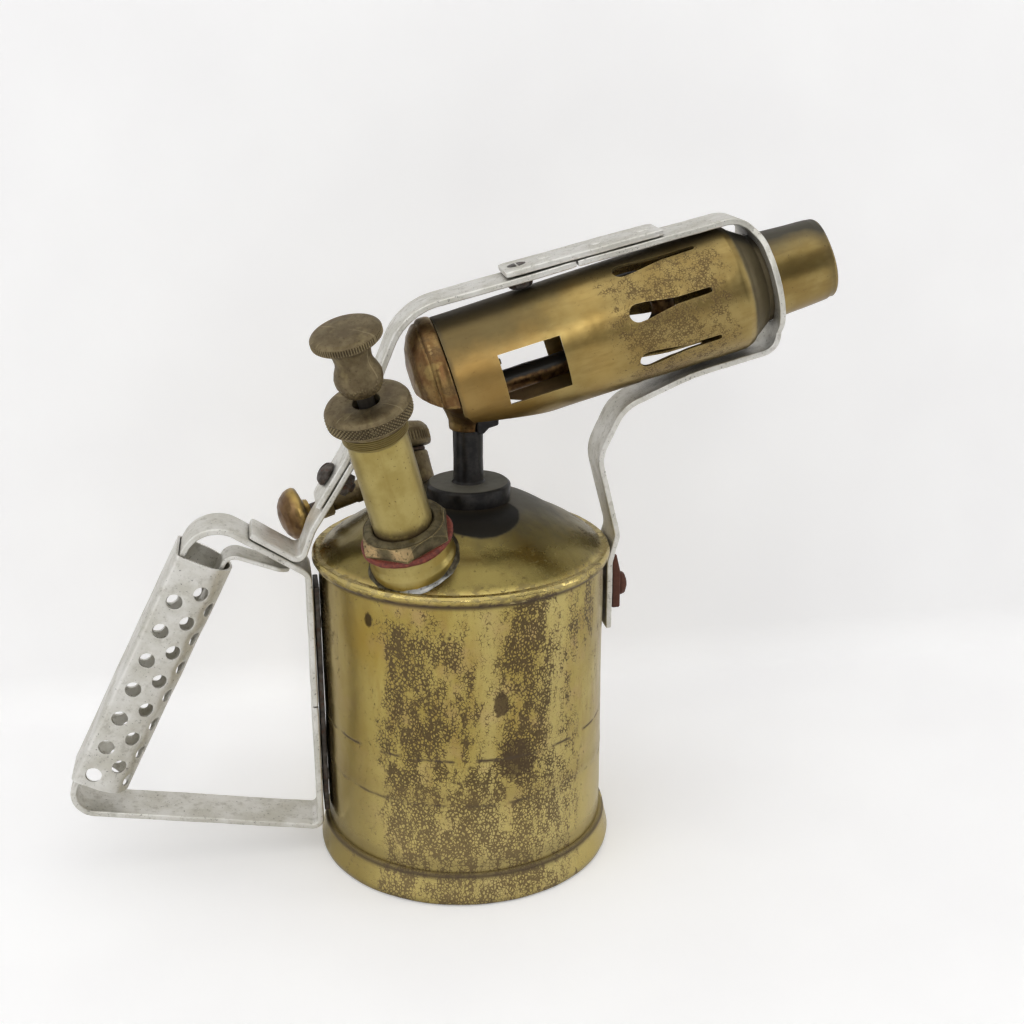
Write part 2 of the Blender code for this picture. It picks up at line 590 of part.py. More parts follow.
def grip_section(inset):
    """Closed (x, y) section: flat on the outer side, round towards the tank."""
    radius = GRIP_R - inset
    corner = GRIP_CORNER - inset
    corner_x = -(GRIP_FLAT - inset) + corner
    points = []
    for k in range(13):
        angle = -pi / 2 + pi * k / 12
        points.append((GRIP_ARC_X + radius * cos(angle), radius * sin(angle)))
    for y, start in ((radius - corner, pi / 2), (-(radius - corner), pi)):
        for k in range(4):
            angle = start + (pi / 2) * k / 3
            points.append((corner_x + corner * cos(angle), y + corner * sin(angle)))
    return points


# grip: perforated sheet wrapped round the strap
sleeve = prism("grip_sleeve", grip_section(0.0), -GRIP_LEN, 0.0, GRIP_M, "aluminium")
cut(sleeve, prism("tool", grip_section(GRIP_T), -GRIP_LEN - 5, 5.0, GRIP_M))
# four columns of seven holes, given by their angle from -Y, every other one staggered
for column, degrees in enumerate((-20, 20, 160, 200)):
    angle = radians(degrees - 90)
    outwards = (cos(angle), sin(angle), 0)
    stagger = 5.2 if column % 2 == 0 else 0.0
    for row in range(7):
        place = (GRIP_ARC_X, 0, -9.0 - row * 10.5 - stagger)
        hole_frame = GRIP_M @ make_frame(place, outwards, x_hint=(0, 0, 1))
        cut(sleeve, prism("tool", polygon(2.4, 8), 5.0, 12.0, hole_frame))

# finger rest: narrow tongue from inside the grip's top, bent out under the upper run
rest = GRIP_TOP - GRIP_L * GRIP_LEG
rest_line, rest_widths = round_tip(
    bend([xz(rest - GRIP_D * 16), xz(rest + GRIP_D * 4.6, 4.0), (-53.8, 96.9)]), half=5.0)
strap("finger_rest", rest_line, rest_widths, thick=1.4)

# strip between upright and tank, and the two flush rivets that hold them
strip = xz_block("backing_strip", [(-46.95, 14), (-46.95, 92), (-45.35, 92), (-45.35, 14)],
                 6.0, "steel_dark")
for name, z in (("handle_rivet_upper", 78.0), ("handle_rivet_lower", 24.0)):
    frame = make_frame((0, 0, z), (-1, 0, 0), x_hint=(0, 0, 1))
    cut(handle, turn("tool", 10, frame, None, [
        (0, 40), (2.2, 40), (2.2, 47.4), (3.9, 49.6), (3.9, 55), (0, 55)]))
    drill((strip, tank_body), 2.2, 40, 55, frame)
    turn(name, 10, frame, "aluminium", [
        (0, 42.6), (3.2, 42.6), (3.2, 43.7), (1.9, 43.7), (1.9, 47.5), (3.4, 49.1), (0, 49.1)])

# ===================================================================== guard
TOP_RUN = (13.2, 184.7, 0.24)          # centre line of the guard's top run
FOOT_LIFT = 2.65                       # foot's centre line above the handle's upper run
FOOT_BEND = Vector((-46.6, 111.0))     # where the foot turns into its slanting run
FOOT_END = Vector((-33.6, 131.6))
LAP_AT = Vector((-38.0, 0, 124.7))     # screw through foot and arch

# foot: lies on the handle's upper run, then slants up towards the burner
foot = strap("guard_foot", bend([
    (-65.2, run_z(UPPER_RUN, -65.2) + FOOT_LIFT),
    (-50.4, run_z(UPPER_RUN, -50.4) + FOOT_LIFT, 2.6),
    (*FOOT_BEND, 16),
    tuple(FOOT_END)]))

# arch: laps the foot's outer face, rises behind the burner and runs forward above it
lap_normal = normal_2d((FOOT_END - FOOT_BEND).normalized())
lap_offset = lap_normal * (STRAP_T + GAP)
arch_start = Vector((-42.7, 117.2)) + lap_offset
arch_turn = Vector((-34.6, 130.0)) + lap_offset
arch = strap("guard_arch", bend([
    tuple(arch_start), (arch_turn.x + 1.0, arch_turn.y + 1.6, 22), (-16.8, 176.9, 20),
    (34.6, run_z(TOP_RUN, 34.6))]))

# front strap: from the top run down through the eye plate to the tank's +X side
EYE_AT = 98.0            # the eye plate's place along the burner
EYE_R = 18.2             # outer radius of the eye


def burner_coords(point):
    """(along, across) the burner of an (x, z) point."""
    offset = Vector((point.x, 0, point.y)) - BURN_O
    return offset.dot(BURN_A), offset.dot(BURN_N)


def eye_half_width(point):
    along, across = burner_coords(point)
    if abs(along - EYE_AT) < 1.2 and abs(across) < 18.0:
        return max(STRAP_W, sqrt(max(0.0, EYE_R ** 2 - across ** 2)))
    return STRAP_W


def with_eye_stations(line):
    """Add points along the eye plate so that its outline is round."""
    dense = []
    for a, b in zip(line, line[1:]):
        dense.append(a)
        along_a, across_a = burner_coords(a)
        along_b, across_b = burner_coords(b)
        on_plate = abs(along_a - EYE_AT) < 0.6 and abs(along_b - EYE_AT) < 0.6
        if on_plate and abs(across_a - across_b) > 8:
            dense += [a.lerp(b, k / 18) for k in range(1, 18)]
    return dense + line[-1:]


front_line = with_eye_stations(bend([
    (35.2, run_z(TOP_RUN, 35.2)),
    xz(meet(burner_point(EYE_AT, 0), BURN_N, TOP_RUN), 9.0),
    xz(burner_point(EYE_AT, -21.6), 6.0),
    (72.0, 154.7, 60.0), (50.0, 145.0, 13.0), (42.6, 129.5, 12.0), (49.1, 103.6, 6.0),
    (46.6, 94.6, 5.0), (46.7, 72.0)]))
front = strap("guard_front", front_line, [eye_half_width(point) for point in front_line])
cut(front, pin(14.1, 90, 110, BURN_M, 20))

# ------------------------------------------------------- guard's top joint
JOINT_LIFT = 2.25        # plate's centre line above the top run
JOINT_NORMAL = Vector((-TOP_RUN[2], 0, 1)).normalized()


def joint_frame(x):
    """Frame on the top run's centre line, square to it."""
    return make_frame((x, 0, run_z(TOP_RUN, x)), JOINT_NORMAL, x_hint=(1, 0, 0))


# plate over the butt joint of arch and front strap
joint_line = [Vector((x, run_z(TOP_RUN, x) + JOINT_LIFT)) for x in (13.6, 61.0)]
joint_plate = strap("joint_plate", joint_line, [STRAP_W - 0.3] * 2)

HEAD_Z = 3.1 + GAP - 0.05              # underside of a plate rivet's head
for name, x, under in (("plate_rivet_rear", 27.0, arch), ("plate_rivet_mid", 43.0, front),
                       ("plate_rivet_front", 57.0, front)):
    frame = joint_frame(x)
    drill((joint_plate, under), 1.6, -6, 6, frame)
    turn(name, 10, frame, "aluminium", [
        (0, 4.0), (1.5, 3.8), (2.5, 3.2), (2.5, HEAD_Z), (1.3, HEAD_Z), (1.3, -1.2),
        (2.4, -1.25), (2.2, -1.9), (0, -2.1)])

# countersunk screw and nut at the plate's rear end
SCREW_BORE = 1.9
frame = joint_frame(18.5)
cut(joint_plate, turn("tool", 10, frame, None, [
    (0, -6), (SCREW_BORE, -6), (SCREW_BORE, 1.9), (3.4, 3.4), (3.4, 8), (0, 8)]))
drill([arch], SCREW_BORE, -6, 6, frame)
turn("plate_screw", 10, frame, "steel_dark", [
    (0, 3.1), (3.0, 3.1), (1.6, 1.75), (1.6, -4.0), (0, -4.0)])
hex_nut("plate_nut", 6.6, -3.7, -1.3, SCREW_BORE, frame, "steel_dark")

# lap screw: slotted round head outside, hexagon nut inside
frame = make_frame(LAP_AT, (lap_normal.x, 0, lap_normal.y))
drill((foot, arch), SCREW_BORE, -6, 8, frame)
lap_screw = turn("lap_screw", 12, frame, "steel_dark", [
    (0, 6.4), (1.6, 6.2), (3.0, 5.4), (3.8, 4.2), (3.8, 3.5), (1.6, 3.5), (1.6, -5.6), (0, -5.6)])
cut(lap_screw, prism("tool", [(-0.55, -6), (0.55, -6), (0.55, 6), (-0.55, 6)], 4.9, 8.0, frame))
hex_nut("lap_nut", 7.0, -4.3, -1.3, SCREW_BORE, frame, "steel_dark", start=radians(15))

# bolt that ties the guard's front end to the tank, with its pointed plate washer
LUG_BORE = 2.4
frame = make_frame((0, 0, 84.5), (1, 0, 0), x_hint=(0, 0, 1))
lug_plate = prism("lug_plate", [(10.2, 0.0), (6.0, 5.6), (-6.6, 5.6), (-6.6, -5.6), (6.0, -5.6)],
                  48.1, 50.9, frame, "rusty_steel")
drill((tank_body, front, lug_plate), LUG_BORE, 40, 55, frame)
turn("lug_bolt", 12, frame, "rusty_steel", [
    (0, 54.0), (1.6, 53.9), (3.2, 53.2), (3.9, 51.9), (3.9, 51.2), (2.1, 51.2), (2.1, 40.6),
    (0, 40.6)])
hex_nut("lug_nut", 8.0, 41.2, 43.7, LUG_BORE, frame, "pump_brass")
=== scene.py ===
# Visual model of a vintage brass blowlamp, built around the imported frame.
import json
import bpy
import bmesh
import numpy as np
from math import sin, cos, tan, pi, radians, degrees, sqrt, atan2, acos, exp, floor, hypot
from mathutils import Vector, Matrix, noise


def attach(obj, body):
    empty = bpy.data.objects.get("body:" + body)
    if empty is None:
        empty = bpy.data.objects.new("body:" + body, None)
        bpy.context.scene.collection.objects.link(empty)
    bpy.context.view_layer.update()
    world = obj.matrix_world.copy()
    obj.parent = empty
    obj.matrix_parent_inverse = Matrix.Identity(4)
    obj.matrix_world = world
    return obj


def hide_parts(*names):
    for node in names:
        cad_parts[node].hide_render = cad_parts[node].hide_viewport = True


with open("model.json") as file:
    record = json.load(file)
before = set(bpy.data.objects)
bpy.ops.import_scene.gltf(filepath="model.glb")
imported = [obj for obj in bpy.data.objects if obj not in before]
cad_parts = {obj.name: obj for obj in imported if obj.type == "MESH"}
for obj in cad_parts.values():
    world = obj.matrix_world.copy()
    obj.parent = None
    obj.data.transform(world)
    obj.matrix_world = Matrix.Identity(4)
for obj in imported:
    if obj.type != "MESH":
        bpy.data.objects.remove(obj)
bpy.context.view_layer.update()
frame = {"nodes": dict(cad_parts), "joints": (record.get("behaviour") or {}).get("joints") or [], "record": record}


MM = 0.001

# ------------------------------------------------------------ shared numbers
J = {j["name"]: j for j in frame["joints"]}
PUMP_O = Vector(J["pump_knob_spin"]["pos_m"]) * 1000
PUMP_D = Vector(J["pump_stroke"]["axis"]).normalized()
FILL_O = Vector(J["filler_screw"]["pos_m"]) * 1000
FILL_D = Vector(J["filler_screw"]["axis"]).normalized()
REL_A = Vector(J["release_screw"]["pos_m"]) * 1000
REL_D = Vector(J["release_screw"]["axis"]).normalized()
BURN_O = Vector((0.0, 0.0, 156.1))
BURN_TILT = radians(15.8)
BURN_A = Vector((cos(BURN_TILT), 0, sin(BURN_TILT)))
BURN_N = Vector((-sin(BURN_TILT), 0, cos(BURN_TILT)))
BOSS_X = 2.6
STRAP_W, STRAP_T, GAP = 7.9, 1.9, 0.3


def dome(r):
    t = max(0.0, min(1.0, (34.0 - r) / 14.0))
    return 100.3 + 13.5 * (1.0 - min(1.0, r / 46.0) ** 3.2) + 3.0 * t * t * (3.0 - 2.0 * t)


def axis_matrix(origin, z_dir, x_hint=(0, 1, 0)):
    z = Vector(z_dir).normalized()
    x = Vector(x_hint)
    x = (x - z * x.dot(z)).normalized()
    y = z.cross(x)
    m = Matrix((x, y, z)).transposed().to_4x4()
    m.translation = Vector(origin) * MM
    return m


WORLD = Matrix.Identity(4)
PUMP_M = axis_matrix(PUMP_O, PUMP_D)
FILL_M = axis_matrix(FILL_O, FILL_D)
REL_M = axis_matrix(REL_A, REL_D, x_hint=(0, 0, 1))
BURN_M = axis_matrix(BURN_O, BURN_A, x_hint=BURN_N)
BOSS_M = axis_matrix((BOSS_X, 0, 0), (0, 0, 1), x_hint=(1, 0, 0))


# ================================================================= node maths
class Sock:
    """A socket with arithmetic, so that shader formulas read as formulas."""

    def __init__(self, g, k):
        self.g, self.k = g, k

    def __add__(self, o): return self.g.math("ADD", self, o)
    __radd__ = __add__
    def __sub__(self, o): return self.g.math("SUBTRACT", self, o)
    def __rsub__(self, o): return self.g.math("SUBTRACT", o, self)
    def __mul__(self, o): return self.g.math("MULTIPLY", self, o)
    __rmul__ = __mul__
    def __truediv__(self, o): return self.g.math("DIVIDE", self, o)


class Graph:
    def __init__(self, name):
        self.m = bpy.data.materials.new(name)
        self.m.use_nodes = True
        self.t = self.m.node_tree
        self.t.nodes.clear()
        self.out = self.t.nodes.new("ShaderNodeOutputMaterial")
        self.p = self.t.nodes.new("ShaderNodeBsdfPrincipled")
        self.t.links.new(self.p.outputs[0], self.out.inputs[0])
        self.co = Sock(self, self.t.nodes.new("ShaderNodeTexCoord").outputs["Object"])
        self.mm = self.scale(1000)

    def put(self, sock, v):
        if isinstance(v, Sock):
            self.t.links.new(v.k, sock)
        elif v is not None:
            sock.default_value = v

    def math(self, op, a, b=None, c=None):
        n = self.t.nodes.new("ShaderNodeMath")
        n.operation = op
        for i, v in enumerate((a, b, c)):
            if v is not None:
                self.put(n.inputs[i], v)
        return Sock(self, n.outputs[0])

    def scale(self, s, loc=(0, 0, 0), vec=None):
        n = self.t.nodes.new("ShaderNodeMapping")
        s = (s, s, s) if isinstance(s, (int, float)) else s
        n.inputs["Scale"].default_value = s
        n.inputs["Location"].default_value = loc
        self.t.links.new((vec or self.co).k, n.inputs["Vector"])
        return Sock(self, n.outputs[0])

    def noise(self, size, detail=3.0, rough=0.55, vec=None, dist=0.0, stretch=(1, 1, 1), seed=0.0):
        """Noise with features about size mm across."""
        v = self.scale(tuple(x / size for x in stretch), loc=(seed, seed * 0.7, seed * 1.3), vec=vec or self.mm)
        n = self.t.nodes.new("ShaderNodeTexNoise")
        n.inputs["Scale"].default_value = 1.0
        n.inputs["Detail"].default_value = detail
        n.inputs["Roughness"].default_value = rough
        n.inputs["Distortion"].default_value = dist
        self.t.links.new(v.k, n.inputs["Vector"])
        return Sock(self, n.outputs[0])

    def cells(self, size, feature="F1", vec=None, stretch=(1, 1, 1), rand=1.0, out="Distance"):
        v = self.scale(tuple(x / size for x in stretch), vec=vec or self.mm)
        n = self.t.nodes.new("ShaderNodeTexVoronoi")
        n.feature = feature
        n.inputs["Scale"].default_value = 1.0
        n.inputs["Randomness"].default_value = rand
        self.t.links.new(v.k, n.inputs["Vector"])
        return Sock(self, n.outputs[out])

    def lace(self, size, seed=0.0, stretch=(1, 1, 1), warp=0.45):
        """Distance to the veins of an irregular net with cells about size mm across."""
        x, y, z = self.sep(self.mm)
        w = warp * size
        v = self.comb(x + (self.noise(size * 1.1, 2, 0.6, seed=seed + 1) - 0.5) * w * 2,
                      y + (self.noise(size * 1.1, 2, 0.6, seed=seed + 8) - 0.5) * w * 2,
                      z + (self.noise(size * 1.1, 2, 0.6, seed=seed + 15) - 0.5) * w * 2)
        return self.cells(size, "DISTANCE_TO_EDGE", vec=v, stretch=stretch)

    def sep(self, vec):
        n = self.t.nodes.new("ShaderNodeSeparateXYZ")
        self.t.links.new(vec.k, n.inputs[0])
        return tuple(Sock(self, o) for o in n.outputs)

    def comb(self, x, y, z):
        n = self.t.nodes.new("ShaderNodeCombineXYZ")
        for i, v in enumerate((x, y, z)):
            self.put(n.inputs[i], v)
        return Sock(self, n.outputs[0])

    def step(self, v, lo, hi):
        """0 below lo, 1 above hi, smooth between."""
        n = self.t.nodes.new("ShaderNodeMapRange")
        n.interpolation_type = "SMOOTHSTEP"
        self.put(n.inputs["Value"], v)
        n.inputs["From Min"].default_value = lo
        n.inputs["From Max"].default_value = hi
        n.inputs["To Min"].default_value = 0.0
        n.inputs["To Max"].default_value = 1.0
        if lo > hi:
            n.inputs["From Min"].default_value = hi
            n.inputs["From Max"].default_value = lo
            n.inputs["To Min"].default_value = 1.0
            n.inputs["To Max"].default_value = 0.0
        return Sock(self, n.outputs[0])

    def bell(self, v, centre, width):
        """Gaussian bump of v about centre."""
        d = (v - centre) * (1.0 / width)
        return self.math("POWER", 2.718, d * d * -1.0)

    def clamp(self, v):
        n = self.t.nodes.new("ShaderNodeClamp")
        self.put(n.inputs[0], v)
        return Sock(self, n.outputs[0])

    def mix(self, f, a, b):
        n = self.t.nodes.new("ShaderNodeMix")
        n.data_type = "RGBA"
        self.put(n.inputs[0], f)
        for i, v in ((6, a), (7, b)):
            self.put(n.inputs[i], v if isinstance(v, Sock) else (*v, 1.0))
        return Sock(self, n.outputs[2])

    def point(self):
        n = self.t.nodes.new("ShaderNodeNewGeometry")
        return Sock(self, n.outputs["Pointiness"])

    def ao(self, dist_mm, samples=4):
        n = self.t.nodes.new("ShaderNodeAmbientOcclusion")
        n.samples = samples
        n.inputs["Distance"].default_value = dist_mm * MM
        return Sock(self, n.outputs["AO"])

    def edge(self, mm=0.5):
        """1 on outer and inner edges within about mm, by comparing bevelled and true normals."""
        b = self.t.nodes.new("ShaderNodeBevel")
        b.samples = 4
        b.inputs["Radius"].default_value = mm * MM
        g = self.t.nodes.new("ShaderNodeNewGeometry")
        d = self.t.nodes.new("ShaderNodeVectorMath")
        d.operation = "DOT_PRODUCT"
        self.t.links.new(b.outputs[0], d.inputs[0])
        self.t.links.new(g.outputs["Normal"], d.inputs[1])
        return self.step(Sock(self, d.outputs["Value"]), 0.985, 0.86)

    def bump(self, h, mm=0.1, strength=1.0, normal=None):
        n = self.t.nodes.new("ShaderNodeBump")
        n.inputs["Strength"].default_value = strength
        n.inputs["Distance"].default_value = mm * MM
        self.put(n.inputs["Height"], h)
        if normal is not None:
            self.t.links.new(normal.k, n.inputs["Normal"])
        return Sock(self, n.outputs[0])

    def surface(self, color, rough, metal, normal=None, spec=None, coat=None):
        self.put(self.p.inputs["Base Color"], color if isinstance(color, Sock) else (*color, 1.0))
        self.put(self.p.inputs["Roughness"], rough)
        self.put(self.p.inputs["Metallic"], metal)
        if normal is not None:
            self.t.links.new(normal.k, self.p.inputs["Normal"])
        if spec is not None:
            self.p.inputs["Specular IOR Level"].default_value = spec
        if coat is not None:
            self.p.inputs["Coat Weight"].default_value = coat
            self.p.inputs["Coat Roughness"].default_value = 0.25
        return self.m


MATS = {}


def tank_brass():
    """Aged brass of the tank: olive gold, speckled brown patina in upright streaks, dark creases; painted shade in
    recesses and under the lip, painted highlights, and a painted reflection of the burner boss with soot.
    """
    g = Graph("v_tank_brass")
    x, y, z = g.sep(g.mm)
    az = g.math("ARCTAN2", y, x) * (180 / pi)           # -180..180, front is about -98
    warp = g.noise(9, 3, 0.6, stretch=(1, 1, 0.35), seed=3)
    azw = az + (warp - 0.5) * 26.0
    fade_top = g.step(z, 99, 84)
    low = g.step(z, 62, 22)
    wall = g.step(z, 101.5, 98.5)
    s1 = g.bell(azw, -121, 8.5) * g.step(z, 97, 86)
    s2 = g.bell(azw, -104, 7.0) * g.step(z, 96, 80)
    s3 = g.bell(azw, -72, 9.0) * 1.25 * (wall * 0.85 + 0.15)
    s4 = g.bell(azw, -52, 5.0) * 0.60 * fade_top
    wide = g.bell(azw, -98, 30) * low * 1.0
    wide = wide + g.bell(azw, -92, 34) * 0.42 * wall
    # the rest of the circumference
    back = g.step(g.noise(17, 2, 0.5, stretch=(1, 1, 0.22), seed=11), 0.52, 0.70) * 0.85
    away = g.step(g.math("ABSOLUTE", az + 98), 40, 62)
    mask = g.clamp(s1 + s2 + s3 + s4 + wide + back * away)
    big = g.noise(5.5, 4, 0.6, stretch=(1, 1, 0.5), seed=5)
    mask = g.clamp(mask * (g.step(big, 0.30, 0.60) * 0.8 + 0.30))
    grain = g.noise(0.78, 3, 0.75, stretch=(1, 1, 0.80), seed=1)
    coarse = g.noise(2.3, 3, 0.6, stretch=(1, 1, 0.55), seed=61)
    net = g.lace(0.95, 4.0, (1, 1, 0.8))
    spot = g.clamp((mask * 0.30 - 0.055 + (coarse - 0.5) * 0.55 + (grain - 0.5) * 0.42 - net) * 9.0)
    # a few isolated specks everywhere
    fleck = g.clamp((g.noise(0.9, 2, 0.5, stretch=(1, 1, 0.8), seed=23) + g.step(g.noise(12, 2, seed=9), 0.4, 0.7) * 0.07 - 0.735) * 16.0)
    # dark blotches on the camera's side
    d1x, d1z = (az + 83.5) * 0.79, z - 66.5
    blot = g.step(d1x * d1x * 0.19 + d1z * d1z * 0.055 + (g.noise(2.4, 3, 0.6, seed=7) - 0.5) * 2.2, 1.25, 0.75)
    d2x, d2z = (az + 76.5) * 0.79, z - 47.5
    blot2 = g.step(d2x * d2x * 0.030 + d2z * d2z * 0.022 + (g.noise(3.0, 4, 0.65, seed=8) - 0.5) * 3.4, 1.25, 0.45)
    # dark lines along the creases, dirt at the foot joint and on the seam, and a band of painted shade under the rolled
    # lip
    wob = (g.noise(7, 2, seed=2) - 0.5) * 1.2
    cr1 = g.bell(z + wob, 48.2, 0.45) * g.step(g.noise(6, 3, seed=31), 0.40, 0.58)
    cr2 = g.bell(z + wob, 33.0, 0.5) * g.step(g.noise(6, 3, seed=33), 0.42, 0.6) * 0.8
    band2 = g.bell(z, 35.5, 3.2) * 0.22
    base = g.bell(z, 9.3, 0.9) * 0.85 + g.bell(z, 12.5, 2.6) * 0.28
    # painted shade: dark band under the overhanging rolled lip
    under = g.step(z, 96.6, 98.2) * g.step(z, 100.4, 98.6) * 0.95
    seam = g.step(g.noise(3.2, 4, 0.6, stretch=(1, 1, 2.0), seed=41), 0.50, 0.62) * g.bell(z, 101.0, 1.8) * 0.8
    creases_dirt_lip_shade = g.clamp(cr1 + cr2 + base + under + seam)
    r2 = g.math("SQRT", x * x + y * y)
    # sooty dome around and to the right of the burner boss
    ddx = x - 6
    ddy = y - 2
    rr = g.math("SQRT", ddx * ddx + ddy * ddy)
    ontop = g.step(z, 101.6, 103.2)
    soot = g.step(rr + (g.noise(7, 4, 0.6, seed=13) - 0.5) * 16, 37, 17) * ontop
    haze = g.noise(22, 4, 0.6, seed=17)
    clean = g.mix(g.step(haze, 0.35, 0.65), (0.44, 0.335, 0.088), (0.54, 0.43, 0.135))
    clean = g.mix(mask * 0.42, clean, (0.27, 0.185, 0.058))
    fine = g.noise(3.0, 5, 0.6, stretch=(1, 1, 0.25), seed=19)
    clean = g.mix(g.step(fine, 0.46, 0.66) * 0.40, clean, (0.36, 0.235, 0.065))
    pinkish = g.step(g.noise(13, 3, 0.6, seed=29), 0.50, 0.72) * 0.5
    clean = g.mix(pinkish, clean, (0.50, 0.34, 0.17))
    topdull = ontop * 0.80
    clean = g.mix(topdull, clean, (0.195, 0.155, 0.052))
    patina = g.mix(g.noise(0.8, 2, seed=37), (0.050, 0.030, 0.012), (0.125, 0.080, 0.032))
    patina = g.mix(g.step(z, 46, 14) * 0.55, patina, (0.27, 0.19, 0.085))
    cover = g.clamp(spot * 0.90 + fleck * 0.85 + blot * 0.9 + blot2 * 0.80)
    clean = g.mix(g.step(z, 56, 20) * 0.62, clean, (0.72, 0.59, 0.235))
    stain = g.bell(az + (warp - 0.5) * 16, -141, 9) * g.bell(z, 84, 10)
    clean = g.mix(stain * 0.75, clean, (0.40, 0.245, 0.022))
    left = g.step(g.math("ABSOLUTE", az + 160), 34, 14) * wall
    clean = g.mix(left * 0.55, clean, (0.27, 0.195, 0.06))
    # painted highlight: bright vertical bands at two azimuths of the wall
    painted_highlight = g.bell(az + (warp - 0.5) * 10, -60, 9) * wall + g.bell(az + (warp - 0.5) * 12, -88, 5) * wall * 0.6
    clean = g.mix(g.clamp(painted_highlight) * 0.45, clean, (0.68, 0.57, 0.25))
    c = g.mix(cover, clean, patina)
    du, dv = (az + 136.6) * 0.79, z - 90.6
    pit = g.step(du * du * 0.32 + dv * dv * 0.14 + (g.noise(1.6, 3, seed=73) - 0.5) * 1.2, 1.1, 0.35)
    c = g.mix(pit * 0.9, c, (0.045, 0.028, 0.014))
    c = g.mix(band2, c, (0.20, 0.13, 0.05))
    # darkening from the crease lines, the foot joint, the seam and the painted shade under the lip
    c = g.mix(creases_dirt_lip_shade, c, (0.075, 0.048, 0.024))
    c = g.mix(soot * 0.88, c, (0.045, 0.042, 0.030))
    # black patch on the dome in front of the burner boss: painted reflection of the black boss, carried on as soot
    px_ = x - 2.6
    py_ = y + 13.8
    pitch = g.step(g.math("SQRT", px_ * px_ + py_ * py_) + (g.noise(4, 3, seed=71) - 0.5) * 1.2, 14.0, 12.9) * ontop
    c = g.mix(pitch * 0.97, c, (0.012, 0.011, 0.010))
    # painted shade: darker where the AO node finds nearby surfaces
    ao_shade = g.step(g.ao(5.0, 3), 0.80, 0.40)
    c = g.mix(ao_shade * 0.55, c, (0.07, 0.05, 0.025))
    # rubbed bright convex edges, with a painted highlight band along the lip
    lip_wear_and_highlight = g.step(g.point(), 0.515, 0.56) * 0.6
    c = g.mix(g.clamp(lip_wear_and_highlight + g.bell(z, 101.2, 0.9) * 0.5) * (1.0 - cover * 0.6), c, (0.70, 0.57, 0.24))
    rough = g.clamp(0.165 + fine * 0.10 + cover * 0.28 + creases_dirt_lip_shade * 0.3 + soot * 0.20 + pit * 0.3 + topdull * 0.02 + haze * 0.05)
    metal = g.clamp(1.0 - cover * 0.50 - creases_dirt_lip_shade * 0.6 - soot * 0.55 - pitch * 1.0)
    h = grain * 0.25 + cover * 0.55 - creases_dirt_lip_shade * 0.6 + g.noise(0.5, 2, seed=43) * 0.12
    n = g.bump(h, 0.10, 0.55)
    n = g.bump(g.noise(11, 2, 0.5, seed=47), 0.55, 0.50, n)
    scr = g.noise(0.35, 2, 0.5, stretch=(1, 1, 0.05), seed=51)
    n = g.bump(scr, 0.012, 0.5, n)
    # lower specular on the boss's painted reflection patch
    g.put(g.p.inputs["Specular IOR Level"], 0.5 - pitch * 0.40)
    return g.surface(c, g.clamp(rough + pitch * 0.10), metal, n)


